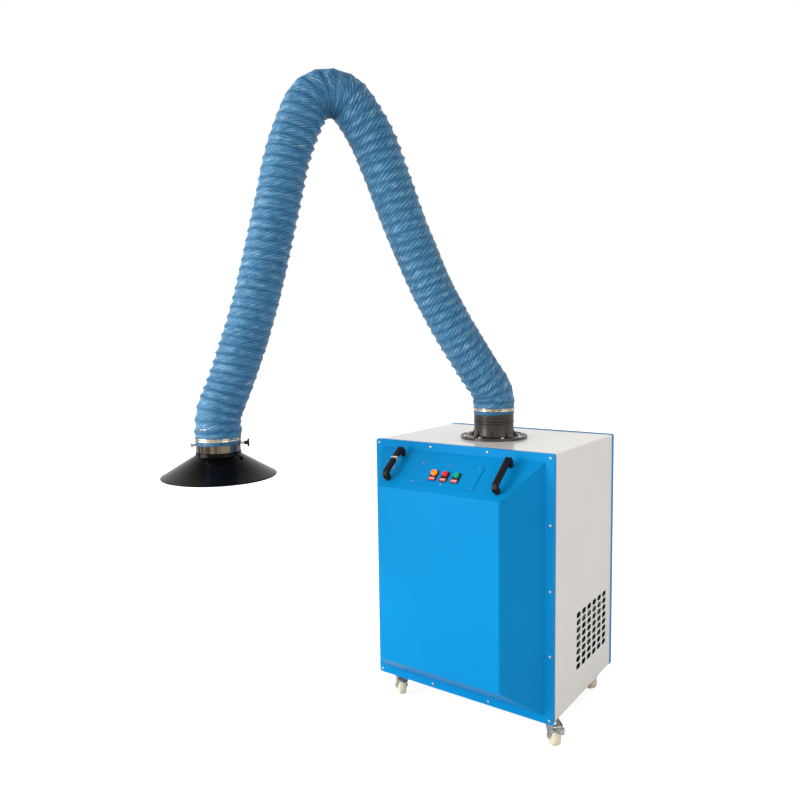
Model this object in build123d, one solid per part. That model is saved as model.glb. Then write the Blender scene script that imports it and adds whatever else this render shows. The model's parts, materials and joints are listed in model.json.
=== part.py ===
"""Portable welding fume extractor: a filter cabinet on casters with a ribbed, jointed extraction arm.

Millimetres, +Z up. The cabinet is drawn with x across its front, y from its front flange to the back and z
from the bottom edge of its front flange. At the end every piece is moved so that the origin lies on the
floor, under the centre of the whole unit's outline.
"""
from build123d import *
import math
import os

# Cabinet
cabinet_width = 780
cabinet_height = 990
cabinet_depth = 600
pan_corner_radius = 9
sheet = 2
pan_lip = 15
fit_gap = 0.3
fold_return = 12
frame_ring_width = 34
base_plate_thickness = 5
overrun = 4

# Raised front cover and its bevels
bulge_depth = 162
bulge_foot_width = 712
bulge_face_width = 516
bulge_foot_low = 29.5
bulge_foot_high = 960
bulge_face_low = 150
bulge_face_high = 834
bend_radius = 4

# Panel screws
screw_head_radius = 5.5
screw_head_tip_radius = 3.6
screw_head_height = 2.6
screw_shank_radius = 2.4
screw_hole_radius = 2.7
screw_edge_inset = 15
screws_across = 4
screws_down = 5

# Outlet grille in the right side
slot_length = 42
slot_height = 22
slot_pitch_y = 54.4
slot_pitch_z = 29.1
slot_columns = 6
slot_rows = 8
grille_front_y = 219
grille_low_z = 120

# Control plate on the upper bevel, measured across and up the slope from its lower ridge
control_width = 276
control_height = 112
control_thickness = 1.5
control_up = 93
control_screw_inset_across = 14
control_screw_inset_up = 9
control_screw_radius = 3.4
control_screw_height = 1.8
control_screw_shank_radius = 1.8
control_screw_length = 5
button_pitch = 48.5
button_up = 92
button_radius = 11
button_height = 13
button_depth = 16
button_travel = 3
button_gap = 0.4
button_flange_radius = 12.6
button_flange_thickness = 2
bezel_radius = 16.5
bezel_height = 4
bezel_body_depth = 22
bezel_body_wall = 3.6
lamp_height = 12
legend_width = 32
legend_height = 18
legend_thickness = 1.2
legend_drop = 26

# Bow handles on the upper bevel
handle_across = 235
handle_low_up = 42
handle_high_up = 170
handle_rise = 42
handle_bar = 16
handle_width = 20
handle_post = 22
handle_bend_radius = 12
handle_pocket = 10
handle_pocket_depth = 9
handle_bolt_radius = 3
handle_bolt_head_radius = 5
handle_bolt_length = 12

# Inlet flange and swivel on the roof
duct_radius = 80
duct_wall = 4
inlet_y = 283
flange_radius = 135
flange_thickness = 8
flange_screw_circle = 119
flange_screw_count = 8
flange_screw_head_radius = 6
flange_screw_head_height = 4.5
flange_screw_radius = 3
gusset_reach = 20
gusset_height = 24
gusset_thickness = 4
neck_height = 68
sleeve_height = 82
spigot_depth = 30
spigot_wall = 3

# Arm: where its vertical plane points, and the hose's line in that plane as lengths and turns
arm_azimuth = 231
hose_base_straight = 46
hose_base_bend_length = 75
hose_base_turn = 34.4
hose_lower_length = 973
hose_lower_turn = -15.3
hose_lead_in_length = 215
hose_lead_in_turn = 17.3
hose_elbow_length = 222
hose_elbow_turn = 117.1
hose_lead_out_length = 279
hose_lead_out_turn = 15
hose_upper_length = 857
hose_upper_turn = -10.5
hose_hood_bend_length = 85
hose_hood_turn = 22
hose_hood_straight = 56
hose_base_piece = 250
hose_hood_piece = 260
hose_elbow_margin = 140
hose_bore_radius = 80.3
hose_valley_radius = 82
hose_crest_radius = 86.5
hose_rib_pitch = 37
hose_sides = 24
hose_cuff_length = 26

# Arm mechanism inside the hose
link_width = 34
link_thickness = 26
tongue_thickness = 15.4
joint_gap = 0.3
cheek_thickness = 5
pin_radius = 6
pin_clearance = 0.05
pin_head_radius = 11
pin_head_height = 4
shoulder_rise = 30
wrist_rise = 48
web_height = 12
web_thickness = 5
ear_width = 32
fork_reach = 46

# Hose clamps
clamp_width = 12
clamp_thickness = 1.4
clamp_box_length = 26
clamp_box_depth = 11
clamp_screw_radius = 3
clamp_screw_length = 16
clamp_offset = 7

# Hood
collar_wall = 2
collar_below_hose = 48
hood_neck_height = 14
hood_neck_gap = 0.3
hood_rim_radius = 209
hood_height = 92
hood_wall = 2
hood_bead_radius = 3.2
hood_bead_sides = 8
damper_below_hose = 8.5
damper_radius = 75
damper_thickness = 2
damper_clearance = 2
damper_shaft_radius = 4
damper_shaft_clearance = 0.3
damper_bolt_reach = 20
damper_bolt_radius = 6.5
damper_bolt_length = 6
knob_reach = 14
knob_radius = 15.5
knob_waist_radius = 7
knob_length = 18
knob_rim = 6

# Casters
floor_clearance = 102
caster_across = 346
caster_front_y = 78
caster_rear_y = 522
caster_plate_length = 62
caster_plate_width = 66
caster_plate_thickness = 3
caster_race_radius = 24
caster_race_height = 6
caster_bolt_radius = 4
caster_bolt_head_radius = 7
caster_bolt_head_height = 3.5
caster_bolt_spacing_long = 44
caster_bolt_spacing_wide = 48
caster_stem_radius = 6
wheel_radius = 36
wheel_width = 32
wheel_hub_radius = 13
wheel_edge_radius = 6
wheel_dish = 4
wheel_trail = 34
axle_radius = 5
axle_clearance = 0.1
axle_nut_radius = 8
axle_nut_height = 5
fork_gap = 2
fork_thickness = 3
fork_head_radius = 27
fork_leg_foot_radius = 11
pedal_length = 46
pedal_width = 50
pedal_thickness = 3
pedal_tip_width = 16
pedal_pivot_radius = 3
pedal_drop = 13
caster_turns = {
    "front_right": -45,
    "front_left": -43,
    "rear_right": 140,
    "rear_left": 152,
}

# Filter, blower and what carries them
tube_sheet_height = 430
tube_sheet_thickness = 3
filter_radius = 162
filter_core_radius = 118
filter_pleat_depth = 26
filter_pleats = 36
filter_height = 400
filter_cap_thickness = 10
filter_y = 300
filter_seat_radius = 105
tie_rod_radius = 6
tie_nut_radius = 16
tie_nut_height = 12
baffle_radius = 130
baffle_drop = 60
baffle_thickness = 2
baffle_leg_radius = 5
baffle_leg_count = 3
tray_width = 690
tray_depth = 540
tray_height = 34
tray_wall = 1.5
tray_collar_radius = 176
fan_low = 168
fan_height = 140
fan_radius = 195
fan_wall = 2
fan_x = 0
fan_outlet_front_y = 250
fan_outlet_rear_y = 492
impeller_radius = 150
impeller_hub_radius = 34
impeller_plate = 3
impeller_blades = 10
impeller_blade_thickness = 4
impeller_blade_lean = 35
impeller_margin = 12
motor_radius = 78
motor_flange_radius = 96
motor_flange_thickness = 8
motor_shaft_radius = 12
motor_foot_height = 10
motor_foot_span = 180
electrical_width = 110
electrical_depth = 220
electrical_height = 240
electrical_low = 560
electrical_y = 200
electrical_radius = 6

# Cable gland low on the back
gland_x = -262
gland_z = 92
gland_bore_radius = 5
gland_body_radius = 11
gland_nut_radius = 14
gland_nut_length = 7
gland_body_length = 14
gland_cap_length = 10
gland_cap_radius = 12
gland_inside_length = 12


# Faces and places that follow from the sizes above
shell_inset = sheet + fit_gap
shell_width = cabinet_width - 2 * shell_inset
shell_high = cabinet_height - shell_inset
shell_low = shell_inset
shell_radius = pan_corner_radius - shell_inset
shell_middle = cabinet_height / 2
inner_half = shell_width / 2 - sheet
plate_half = shell_width / 2 - fold_return
frame_back = shell_inset + sheet
inside_front = frame_back + fit_gap
inside_back = cabinet_depth - inside_front
bevel = Plane(
    origin=(0, -bulge_depth, bulge_face_high),
    x_dir=(1, 0, 0),
    z_dir=(0, bulge_face_high - bulge_foot_high, bulge_depth),
)
neck_top = shell_high + neck_height
sleeve_low = neck_top + joint_gap
sleeve_top = sleeve_low + sleeve_height
hose_start = sleeve_top - hose_base_straight + fit_gap
shoulder_height = sleeve_top + shoulder_rise


def box(x0, x1, y0, y1, z0, z1):
    """A block between two corners."""
    return Pos((x0 + x1) / 2, (y0 + y1) / 2, (z0 + z1) / 2) * Box(x1 - x0, y1 - y0, z1 - z0)


def rounded_slab(width, height, radius, y0, y1, middle=shell_middle):
    """A rounded rectangle facing front, from y0 back to y1."""
    face = Plane.XZ.offset(-y0) * Pos(0, middle) * RectangleRounded(width, height, radius)
    return extrude(face, amount=y0 - y1)


def drum(radius, low, high, x=0, y=0):
    """An upright cylinder from low to high."""
    return Pos(x, y, (low + high) / 2) * Cylinder(radius, high - low)


def ring(outer, inner, low, high, x=0, y=0):
    """An upright tube from low to high."""
    return drum(outer, low, high, x, y) - drum(inner, low - overrun, high + overrun, x, y)


def one(shape):
    """The single solid of a finished shape."""
    return shape.solids()[0] if len(shape.solids()) == 1 else Compound(children=list(shape.solids()))


def pan_screw_places(width=cabinet_width, height=cabinet_height):
    """Centres of the screws round a pan's flange, as x and z."""
    half = width / 2 - screw_edge_inset
    step_x = 2 * half / (screws_across - 1)
    step_z = (height - 2 * screw_edge_inset) / (screws_down - 1)
    places = []
    for i in range(screws_across):
        for j in range(screws_down):
            if i in (0, screws_across - 1) or j in (0, screws_down - 1):
                places.append((-half + i * step_x, screw_edge_inset + j * step_z))
    return places


def pan_holes(y0, y1):
    """Clearance holes for the pan screws."""
    holes = []
    for x, z in pan_screw_places():
        holes.append(Pos(x, (y0 + y1) / 2, z) * Rot(90, 0, 0) * Cylinder(screw_hole_radius, y1 - y0))
    return holes


# Cabinet sheet metal


def make_wrapper():
    """The folded shell round the cabinet, before it is divided into panels."""
    outer = rounded_slab(
        shell_width, shell_high - shell_low, shell_radius, shell_inset, cabinet_depth - shell_inset
    )
    inner = rounded_slab(
        shell_width - 2 * sheet,
        shell_high - shell_low - 2 * sheet,
        shell_radius - sheet,
        shell_inset - overrun,
        cabinet_depth - shell_inset + overrun,
    )
    return outer - inner


def make_side_panel(side):
    """One side with its rolled top and bottom returns: side is 1 on the right and -1 on the left."""
    near = side * plate_half
    far = side * (shell_width / 2 + overrun)
    cut = box(min(near, far), max(near, far), 0, cabinet_depth, 0, cabinet_height)
    panel = make_wrapper() & cut
    if side > 0:
        panel -= grille_slots()
    return one(panel)


def grille_slots():
    """The field of round-ended slots, as cutters through the right side."""
    slots = []
    for column in range(slot_columns):
        for row in range(slot_rows):
            y = grille_front_y + slot_length / 2 + column * slot_pitch_y
            z = grille_low_z + slot_height / 2 + row * slot_pitch_z
            slots.append(Pos(y, z) * SlotOverall(slot_length, slot_height))
    field = Plane.YZ.offset(inner_half - overrun) * Sketch(children=slots)
    return extrude(field, amount=2 * overrun + sheet)


def make_top_panel():
    """The flat roof between the side panels, holed for the inlet duct and its flange screws."""
    roof = box(
        -plate_half, plate_half, shell_inset, cabinet_depth - shell_inset, shell_high - sheet, shell_high
    )
    roof -= drum(duct_radius - duct_wall, shell_high - 2 * sheet, shell_high + sheet, 0, inlet_y)
    for x, y in flange_screw_places():
        roof -= drum(flange_screw_radius, shell_high - 2 * sheet, shell_high + sheet, x, y)
    return one(roof)


def make_base_plate():
    """The floor plate that carries the motor and the casters."""
    plate = box(
        -plate_half, plate_half, inside_front, inside_back, shell_low, shell_low + base_plate_thickness
    )
    for place in caster_places().values():
        for x, y in caster_bolt_places():
            plate -= drum(
                caster_bolt_radius, 0, shell_low + base_plate_thickness + overrun, place[0] + x, place[1] + y
            )
    return one(plate)


def make_frame(y0):
    """A ring behind a pan's flange that its screws bite into."""
    width = 2 * (inner_half - fit_gap)
    height = shell_high - shell_low - 2 * (sheet + fit_gap)
    ringed = rounded_slab(width, height, shell_radius - sheet, y0, y0 + sheet)
    ringed -= rounded_slab(
        width - 2 * frame_ring_width,
        height - 2 * frame_ring_width,
        bend_radius,
        y0 - overrun,
        y0 + sheet + overrun,
    )
    for x, z in pan_screw_places():
        ringed -= Pos(x, y0 + sheet / 2, z) * Rot(90, 0, 0) * Cylinder(screw_shank_radius, 2 * overrun)
    return one(ringed)


def bulge_solid(inset, y_foot, y_face):
    """The bevelled block of the front cover, drawn in by inset on every side."""
    foot_height = bulge_foot_high - bulge_foot_low
    face_height = bulge_face_high - bulge_face_low
    foot = Plane.XZ.offset(-y_foot) * Pos(0, (bulge_foot_high + bulge_foot_low) / 2)
    face = Plane.XZ.offset(-y_face) * Pos(0, (bulge_face_high + bulge_face_low) / 2)
    return loft(
        [
            foot * Rectangle(bulge_foot_width - 2 * inset, foot_height - 2 * inset),
            face * Rectangle(bulge_face_width - 2 * inset, face_height - 2 * inset),
        ],
        ruled=True,
    )


def pan(y_flange, y_lip):
    """A flat flange with a lip folded back all round."""
    low, high = min(y_flange, y_lip), max(y_flange, y_lip)
    block = rounded_slab(cabinet_width, cabinet_height, pan_corner_radius, low, high)
    inner_low = low + sheet if y_flange < y_lip else low - overrun
    inner_high = high + overrun if y_flange < y_lip else high - sheet
    return block - rounded_slab(
        cabinet_width - 2 * sheet,
        cabinet_height - 2 * sheet,
        pan_corner_radius - sheet,
        inner_low,
        inner_high,
    )


def make_front_panel():
    """The pressed front cover: flange, folded lip and bevelled face, holed for screws and buttons."""
    cover = pan(0, pan_lip)
    outer = bulge_solid(0, sheet, -bulge_depth)
    face_edges = outer.edges().filter_by_position(Axis.Y, -bulge_depth - sheet, -bulge_depth + sheet)
    outer = fillet(face_edges, bend_radius)
    cover -= bulge_solid(sheet, sheet + overrun, 0 - overrun)
    cover += outer
    cover -= bulge_solid(sheet, sheet + fit_gap, sheet - bulge_depth)
    for hole in pan_holes(-overrun, pan_lip):
        cover -= hole
    for across in (-1, 0, 1):
        hole = Cylinder(bezel_hole_radius(), 2 * bezel_body_depth)
        cover -= bevel * Pos(across * button_pitch, button_up) * hole
    for x, v in control_screw_places():
        cover -= bevel * Pos(x, v) * Cylinder(control_screw_shank_radius, 2 * control_screw_length)
    for side in (-1, 1):
        for v in (handle_low_up, handle_high_up):
            cover -= bevel * Pos(side * handle_across, v) * Cylinder(handle_bolt_radius, 2 * handle_bolt_length)
    return one(cover)


def make_rear_panel():
    """The flat back pan, holed for its screws and the cable gland."""
    cover = pan(cabinet_depth, cabinet_depth - pan_lip)
    for hole in pan_holes(cabinet_depth - pan_lip, cabinet_depth + overrun):
        cover -= hole
    cover -= Pos(gland_x, cabinet_depth, gland_z) * Rot(90, 0, 0) * Cylinder(gland_body_radius, 2 * pan_lip)
    return one(cover)


def pan_screw(x, y, z, facing):
    """One pan-head screw through a flange and its frame: facing is -1 to the front and 1 to the back."""
    head = Cone(screw_head_radius, screw_head_tip_radius, screw_head_height)
    shank = Cylinder(screw_shank_radius, shell_inset + sheet)
    screw = Pos(0, 0, screw_head_height / 2) * head + Pos(0, 0, -(shell_inset + sheet) / 2) * shank
    return Pos(x, y, z) * Rot(90 * -facing, 0, 0) * screw


def make_panel_screws():
    """The screws round both pans."""
    screws = []
    for x, z in pan_screw_places():
        screws.append(pan_screw(x, 0, z, -1))
        screws.append(pan_screw(x, cabinet_depth, z, 1))
    return screws


# Controls and handles on the upper bevel


def bezel_hole_radius():
    """Radius of the hole that a button's body fills."""
    return button_radius + button_gap + bezel_body_wall


def control_screw_places():
    """Two rows of three screws, as places across and up the slope."""
    half = control_width / 2 - control_screw_inset_across
    rise = control_height / 2 - control_screw_inset_up
    return [(i * half, control_up + j * rise) for i in (-1, 0, 1) for j in (-1, 1)]


def make_control_plate():
    """The small cover plate that carries the buttons."""
    plate = Pos(0, control_up, control_thickness / 2) * Box(control_width, control_height, control_thickness)
    for across in (-1, 0, 1):
        plate -= Pos(across * button_pitch, button_up) * Cylinder(bezel_hole_radius(), 2 * overrun)
    for x, v in control_screw_places():
        plate -= Pos(x, v) * Cylinder(control_screw_shank_radius, 2 * overrun)
    return bevel * plate


def make_control_screws():
    """Small round-headed screws of the control plate."""
    screws = []
    for x, v in control_screw_places():
        head = Pos(0, 0, control_screw_height / 2) * Cylinder(control_screw_radius, control_screw_height)
        shank = Pos(0, 0, -control_screw_length / 2) * Cylinder(control_screw_shank_radius, control_screw_length)
        screws.append(bevel * Pos(x, v, control_thickness) * (head + shank))
    return screws


def make_bezels():
    """Three round bezels with the bodies behind them that guide the buttons and hold the lamp."""
    bezels = []
    for across in (-1, 0, 1):
        flange = Pos(0, 0, bezel_height / 2) * Cylinder(bezel_radius, bezel_height)
        flange = chamfer(flange.edges().group_by(Axis.Z)[-1], bezel_height / 2)
        body = Pos(0, 0, -bezel_body_depth / 2) * Cylinder(bezel_hole_radius(), bezel_body_depth)
        bore = Cylinder(button_radius + button_gap, 2 * bezel_body_depth + overrun)
        seat_top = button_flange_thickness + button_gap - button_depth
        seat = Pos(0, 0, seat_top - bezel_body_depth / 2) * Cylinder(
            button_flange_radius + button_gap, bezel_body_depth
        )
        bezel = flange + body - bore - seat
        bezels.append(bevel * Pos(across * button_pitch, button_up, control_thickness) * bezel)
    return bezels


def make_button(across):
    """A push button with a domed face and a flange inside that keeps it from coming out."""
    stem = Cylinder(button_radius, button_height + button_depth)
    stem = Pos(0, 0, (button_height - button_depth) / 2) * stem
    stem = fillet(stem.edges().group_by(Axis.Z)[-1], button_travel)
    collar_place = Pos(0, 0, button_flange_thickness / 2 - button_depth)
    collar = collar_place * Cylinder(button_flange_radius, button_flange_thickness)
    return bevel * Pos(across * button_pitch, button_up, control_thickness) * (stem + collar)


def make_lamp():
    """The pilot lamp with its faceted lens."""
    lens = Pos(0, 0, lamp_height / 2) * Cone(button_radius, button_radius / 2, lamp_height)
    lens = Pos(0, 0, bezel_height) * lens + Pos(0, 0, bezel_height / 2) * Cylinder(button_radius, bezel_height)
    body = Pos(0, 0, -bezel_body_depth / 2) * Cylinder(button_radius, bezel_body_depth)
    return bevel * Pos(-button_pitch, button_up, control_thickness) * (lens + body)


def make_legends():
    """The bare plates under the lamp and the two buttons."""
    plates = []
    for across in (-1, 0, 1):
        plate = Pos(0, 0, legend_thickness / 2) * Box(legend_width, legend_height, legend_thickness)
        plates.append(bevel * Pos(across * button_pitch, button_up - legend_drop, control_thickness) * plate)
    return plates


def make_handle(side):
    """A bow handle whose two posts stand on the bevel."""
    low = handle_low_up - handle_post / 2
    high = handle_high_up + handle_post / 2
    bow = Plane.YZ * Polygon(
        (low, 0),
        (low + handle_post, 0),
        (low + handle_post, handle_rise - handle_bar),
        (high - handle_post, handle_rise - handle_bar),
        (high - handle_post, 0),
        (high, 0),
        (high, handle_rise - handle_bend_radius),
        (high - handle_bend_radius, handle_rise),
        (low + handle_bend_radius, handle_rise),
        (low, handle_rise - handle_bend_radius),
        align=None,
    )
    bow = extrude(bow, amount=handle_width / 2, both=True)
    inner = bow.edges().filter_by(Axis.X).filter_by_position(
        Axis.Z, handle_rise - handle_bar - sheet, handle_rise - handle_bar + sheet
    )
    bow = fillet(inner, handle_bend_radius / 2)
    for end, turn in ((low, 1), (high, -1)):
        pocket = Box(handle_pocket, 2 * handle_pocket_depth, handle_pocket)
        bow -= Pos(0, end, (handle_rise - handle_bend_radius) / 2 + handle_pocket / 2) * pocket
    for v in (handle_low_up, handle_high_up):
        bow -= Pos(0, v, 0) * Cylinder(handle_bolt_radius, 2 * handle_pocket)
    return bevel * Pos(side * handle_across, 0, 0) * bow


def make_handle_bolts():
    """Bolts that hold the handles from inside the cover."""
    bolts = []
    for side in (-1, 1):
        for v in (handle_low_up, handle_high_up):
            head = Pos(0, 0, -sheet * 2 - handle_bolt_radius / 2 - fit_gap) * Cylinder(
                handle_bolt_head_radius, handle_bolt_radius
            )
            shank_low = -sheet * 2 - fit_gap
            shank = Cylinder(handle_bolt_radius, handle_pocket - shank_low)
            shank = Pos(0, 0, (shank_low + handle_pocket) / 2) * shank
            bolts.append(bevel * Pos(side * handle_across, v) * (head + shank))
    return bolts


# Inlet flange, swivel sleeve and clamps


def flange_screw_places():
    """Centres of the flange screws on the roof."""
    step = 360 / flange_screw_count
    places = []
    for i in range(flange_screw_count):
        a = math.radians(i * step)
        places.append((flange_screw_circle * math.cos(a), inlet_y + flange_screw_circle * math.sin(a)))
    return places


def make_base_flange():
    """The fixed flange with its short neck and gussets."""
    flange = drum(flange_radius, 0, flange_thickness)
    flange = chamfer(flange.edges().group_by(Axis.Z)[-1], sheet)
    neck = drum(duct_radius, 0, neck_height)
    body = flange + neck
    for i in range(flange_screw_count):
        rib = Plane.XZ * Polygon(
            (duct_radius - duct_wall, flange_thickness - sheet),
            (duct_radius + gusset_reach, flange_thickness - sheet),
            (duct_radius - duct_wall, flange_thickness + gusset_height),
            align=None,
        )
        rib = extrude(rib, amount=gusset_thickness / 2, both=True)
        body += Rot(0, 0, (i + 1 / 2) * 360 / flange_screw_count) * rib
    body -= drum(duct_radius - duct_wall, -overrun, neck_height + overrun)
    body = Pos(0, inlet_y, shell_high) * body
    for x, y in flange_screw_places():
        body -= drum(flange_screw_radius, shell_high - overrun, shell_high + flange_thickness + overrun, x, y)
    return one(body)


def make_flange_screws():
    """Button-head screws through the flange and the roof."""
    screws = []
    top = shell_high + flange_thickness
    for x, y in flange_screw_places():
        head = drum(flange_screw_head_radius, top, top + flange_screw_head_height, x, y)
        head = chamfer(head.edges().group_by(Axis.Z)[-1], flange_screw_head_height / 2)
        screws.append(head + drum(flange_screw_radius, shell_high - 2 * sheet, top, x, y))
    return screws


def make_sleeve():
    """The rotating sleeve with the ears that carry the shoulder pin, drawn about its own axis."""
    sleeve = ring(duct_radius, duct_radius - duct_wall, sleeve_low, sleeve_top)
    spigot_outer = duct_radius - duct_wall - joint_gap
    spigot_inner = spigot_outer - spigot_wall
    sleeve += ring(spigot_outer, spigot_inner, sleeve_low - spigot_depth, sleeve_low + spigot_wall)
    sleeve += ring(duct_radius, spigot_inner, sleeve_low, sleeve_low + spigot_wall)
    reach = duct_radius - duct_wall / 2
    sleeve += ears(link_thickness, sleeve_top - web_height, sleeve_top, shoulder_height, reach)
    sleeve -= Pos(0, 0, shoulder_height) * Rot(90, 0, 0) * Cylinder(pin_radius, 2 * duct_radius)
    return one(sleeve)


def ears(gap, web_low, web_high, pivot, reach):
    """Two ears on a cross web inside a duct, rising to a pivot on its axis."""
    inner = gap / 2 + joint_gap
    outer = inner + cheek_thickness
    web = box(-web_thickness / 2, web_thickness / 2, -reach, reach, web_low, web_high)
    shape = web
    for side in (-1, 1):
        y0, y1 = sorted((side * inner, side * outer))
        ear = box(-ear_width / 2, ear_width / 2, y0, y1, web_low, pivot)
        boss = Pos(0, (y0 + y1) / 2, pivot) * Rot(90, 0, 0) * Cylinder(ear_width / 2, cheek_thickness)
        shape += ear + boss
    return shape


def clamp_band(middle):
    """A worm-drive band round the hose cuff, drawn about its own axis."""
    inner = hose_valley_radius / math.cos(math.pi / hose_sides) + joint_gap
    band = ring(inner + clamp_thickness, inner, middle - clamp_width / 2, middle + clamp_width / 2)
    housing = Pos(0, -inner - clamp_box_depth / 2, middle) * Box(clamp_box_length, clamp_box_depth, clamp_width)
    housing = fillet(housing.edges().filter_by(Axis.X), clamp_thickness)
    screw = Pos(-clamp_box_length / 2 - clamp_screw_length / 2, -inner - clamp_box_depth / 2, middle)
    screw = screw * Rot(0, 90, 0) * Cylinder(clamp_screw_radius, clamp_screw_length)
    hollow = drum(inner, middle - clamp_width, middle + clamp_width)
    return band + (housing + screw - hollow)


# The arm's line in its own vertical plane: x is the reach out from the swivel axis and z the height


def hose_steps():
    """Lengths of the hose's stretches and the degrees that each turns."""
    return [
        (hose_base_straight, 0),
        (hose_base_bend_length, hose_base_turn),
        (hose_lower_length, hose_lower_turn),
        (hose_lead_in_length, hose_lead_in_turn),
        (hose_elbow_length, hose_elbow_turn),
        (hose_lead_out_length, hose_lead_out_turn),
        (hose_upper_length, hose_upper_turn),
        (hose_hood_bend_length, hose_hood_turn),
        (hose_hood_straight, 0),
    ]


def hose_point(distance):
    """Reach, height and heading, in degrees from straight up, at a distance along the hose."""
    x, z, heading = 0, hose_start, 0
    for length, turn in hose_steps():
        part = min(max(distance, 0), length)
        swing = turn * part / length
        if turn == 0:
            x += part * math.sin(math.radians(heading))
            z += part * math.cos(math.radians(heading))
        else:
            radius = length / math.radians(turn)
            a, b = math.radians(heading), math.radians(heading + swing)
            x += radius * (math.cos(a) - math.cos(b))
            z += radius * (math.sin(b) - math.sin(a))
        heading += swing
        distance -= part
    return x, z, heading


def stretch_end(count):
    """Distance along the hose at the end of its first count stretches."""
    return sum(length for length, turn in hose_steps()[:count])


hose_length = stretch_end(len(hose_steps()))
elbow_middle = stretch_end(4) + hose_elbow_length / 2
shoulder = (0, shoulder_height)
elbow = hose_point(elbow_middle)[:2]
hood_end = hose_point(hose_length)
hood_up = (-math.sin(math.radians(hood_end[2])), -math.cos(math.radians(hood_end[2])))
wrist_distance = hose_hood_straight + wrist_rise
wrist = (hood_end[0] + wrist_distance * hood_up[0], hood_end[1] + wrist_distance * hood_up[1])
rib_count = round((hose_length - 2 * hose_cuff_length) / hose_rib_pitch)
rib_step = (hose_length - 2 * hose_cuff_length) / rib_count


def valley_distance(index):
    """Distance along the hose of a valley between ribs."""
    return hose_cuff_length + index * rib_step


def nearest_valley(distance):
    """The valley nearest to a place along the hose, where one piece passes into the next."""
    return round((distance - hose_cuff_length) / rib_step)


def hose_section(distance, radius):
    """A many-sided ring outline square to the hose's line."""
    x, z, heading = hose_point(distance)
    a = math.radians(heading)
    plane = Plane(origin=(x, 0, z), x_dir=(0, 1, 0), z_dir=(math.sin(a), 0, math.cos(a)))
    return plane * RegularPolygon(radius, hose_sides, major_radius=False)


def make_hose(first, last, bore_every):
    """Hose between two valleys, ribbed outside and bored through, with a cuff where it begins or ends."""
    outline = []
    if first == 0:
        outline.append((0, hose_valley_radius))
    for index in range(first, last + 1):
        at = valley_distance(index)
        outline.append((at, hose_valley_radius))
        if index < last:
            outline.append((at + rib_step / 2, hose_crest_radius))
    if last == rib_count:
        outline.append((hose_length, hose_valley_radius))
    skin = loft([hose_section(at, radius) for at, radius in outline], ruled=True)
    start, end = outline[0][0], outline[-1][0]
    stops = [valley_distance(i) for i in range(first, last + 1, bore_every)]
    stops += [hose_base_straight, hose_length - hose_hood_straight]
    inner = [start] + sorted(at for at in stops if start < at < end) + [end]
    bore = loft([hose_section(at, hose_bore_radius) for at in inner], ruled=True)
    return one(skin - bore)


def in_arm_plane(shape):
    """Carry a piece of the arm from its own plane to its place over the cabinet."""
    return Pos(0, inlet_y, 0) * Rot(0, 0, arm_azimuth) * shape


def link_body(points, thickness):
    """A flat bar with round ends along a line of points in the arm's plane."""
    bar = None
    for (x0, z0), (x1, z1) in zip(points, points[1:]):
        length = math.hypot(x1 - x0, z1 - z0)
        turn = math.degrees(math.atan2(z1 - z0, x1 - x0))
        face = Pos((x0 + x1) / 2, (z0 + z1) / 2) * Rot(0, 0, turn) * SlotCenterToCenter(length, link_width)
        bar = face if bar is None else bar + face
    return extrude(Plane.XZ * bar, amount=thickness / 2, both=True)


def cross_hole(place, radius):
    """A hole across the arm at a pivot."""
    return Pos(place[0], 0, place[1]) * Rot(90, 0, 0) * Cylinder(radius, 2 * duct_radius)


def crank_point(count):
    """Where a link leaves its straight run to follow the bend at the elbow."""
    x, z, heading = hose_point(stretch_end(count))
    return x, z


def make_lower_link():
    """The inner link from the shoulder to the elbow, with a slot for the upper link's tongue."""
    link = link_body([shoulder, crank_point(4), elbow], link_thickness)
    slot = Pos(elbow[0], 0, elbow[1]) * Rot(90, 0, 0) * Cylinder(fork_reach, tongue_thickness + 2 * joint_gap)
    link -= slot
    link -= cross_hole(shoulder, pin_radius + pin_clearance)
    link -= cross_hole(elbow, pin_radius)
    return one(link)


def make_upper_link():
    """The inner link from the elbow to the wrist."""
    link = link_body([elbow, crank_point(5), wrist], tongue_thickness)
    link -= cross_hole(elbow, pin_radius + pin_clearance)
    link -= cross_hole(wrist, pin_radius + pin_clearance)
    return one(link)


def make_pin(place, width):
    """A pivot bolt with a head at each end."""
    pin = Rot(90, 0, 0) * Cylinder(pin_radius, width + 2 * pin_head_height)
    for side in (-1, 1):
        pin += Pos(0, side * (width / 2 + pin_head_height / 2), 0) * Rot(90, 0, 0) * Cylinder(
            pin_head_radius, pin_head_height
        )
    return Pos(place[0], 0, place[1]) * pin


shoulder_pin_width = link_thickness + 2 * (joint_gap + cheek_thickness)
elbow_pin_width = link_thickness
wrist_pin_width = tongue_thickness + 2 * (joint_gap + cheek_thickness)


# Hood, drawn about its own axis with zero at the hose's end and up towards the hose


def at_hood(shape):
    """Carry a piece of the hood from its own axis to the end of the arm."""
    tilt = hood_end[2] - 180
    return in_arm_plane(Pos(hood_end[0], 0, hood_end[1]) * Rot(0, tilt, 0) * shape)


hood_neck_low = -collar_below_hose
hood_rim_low = hood_neck_low + hood_neck_height - hood_height
stirrup_low = damper_radius + damper_clearance - damper_below_hose


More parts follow.
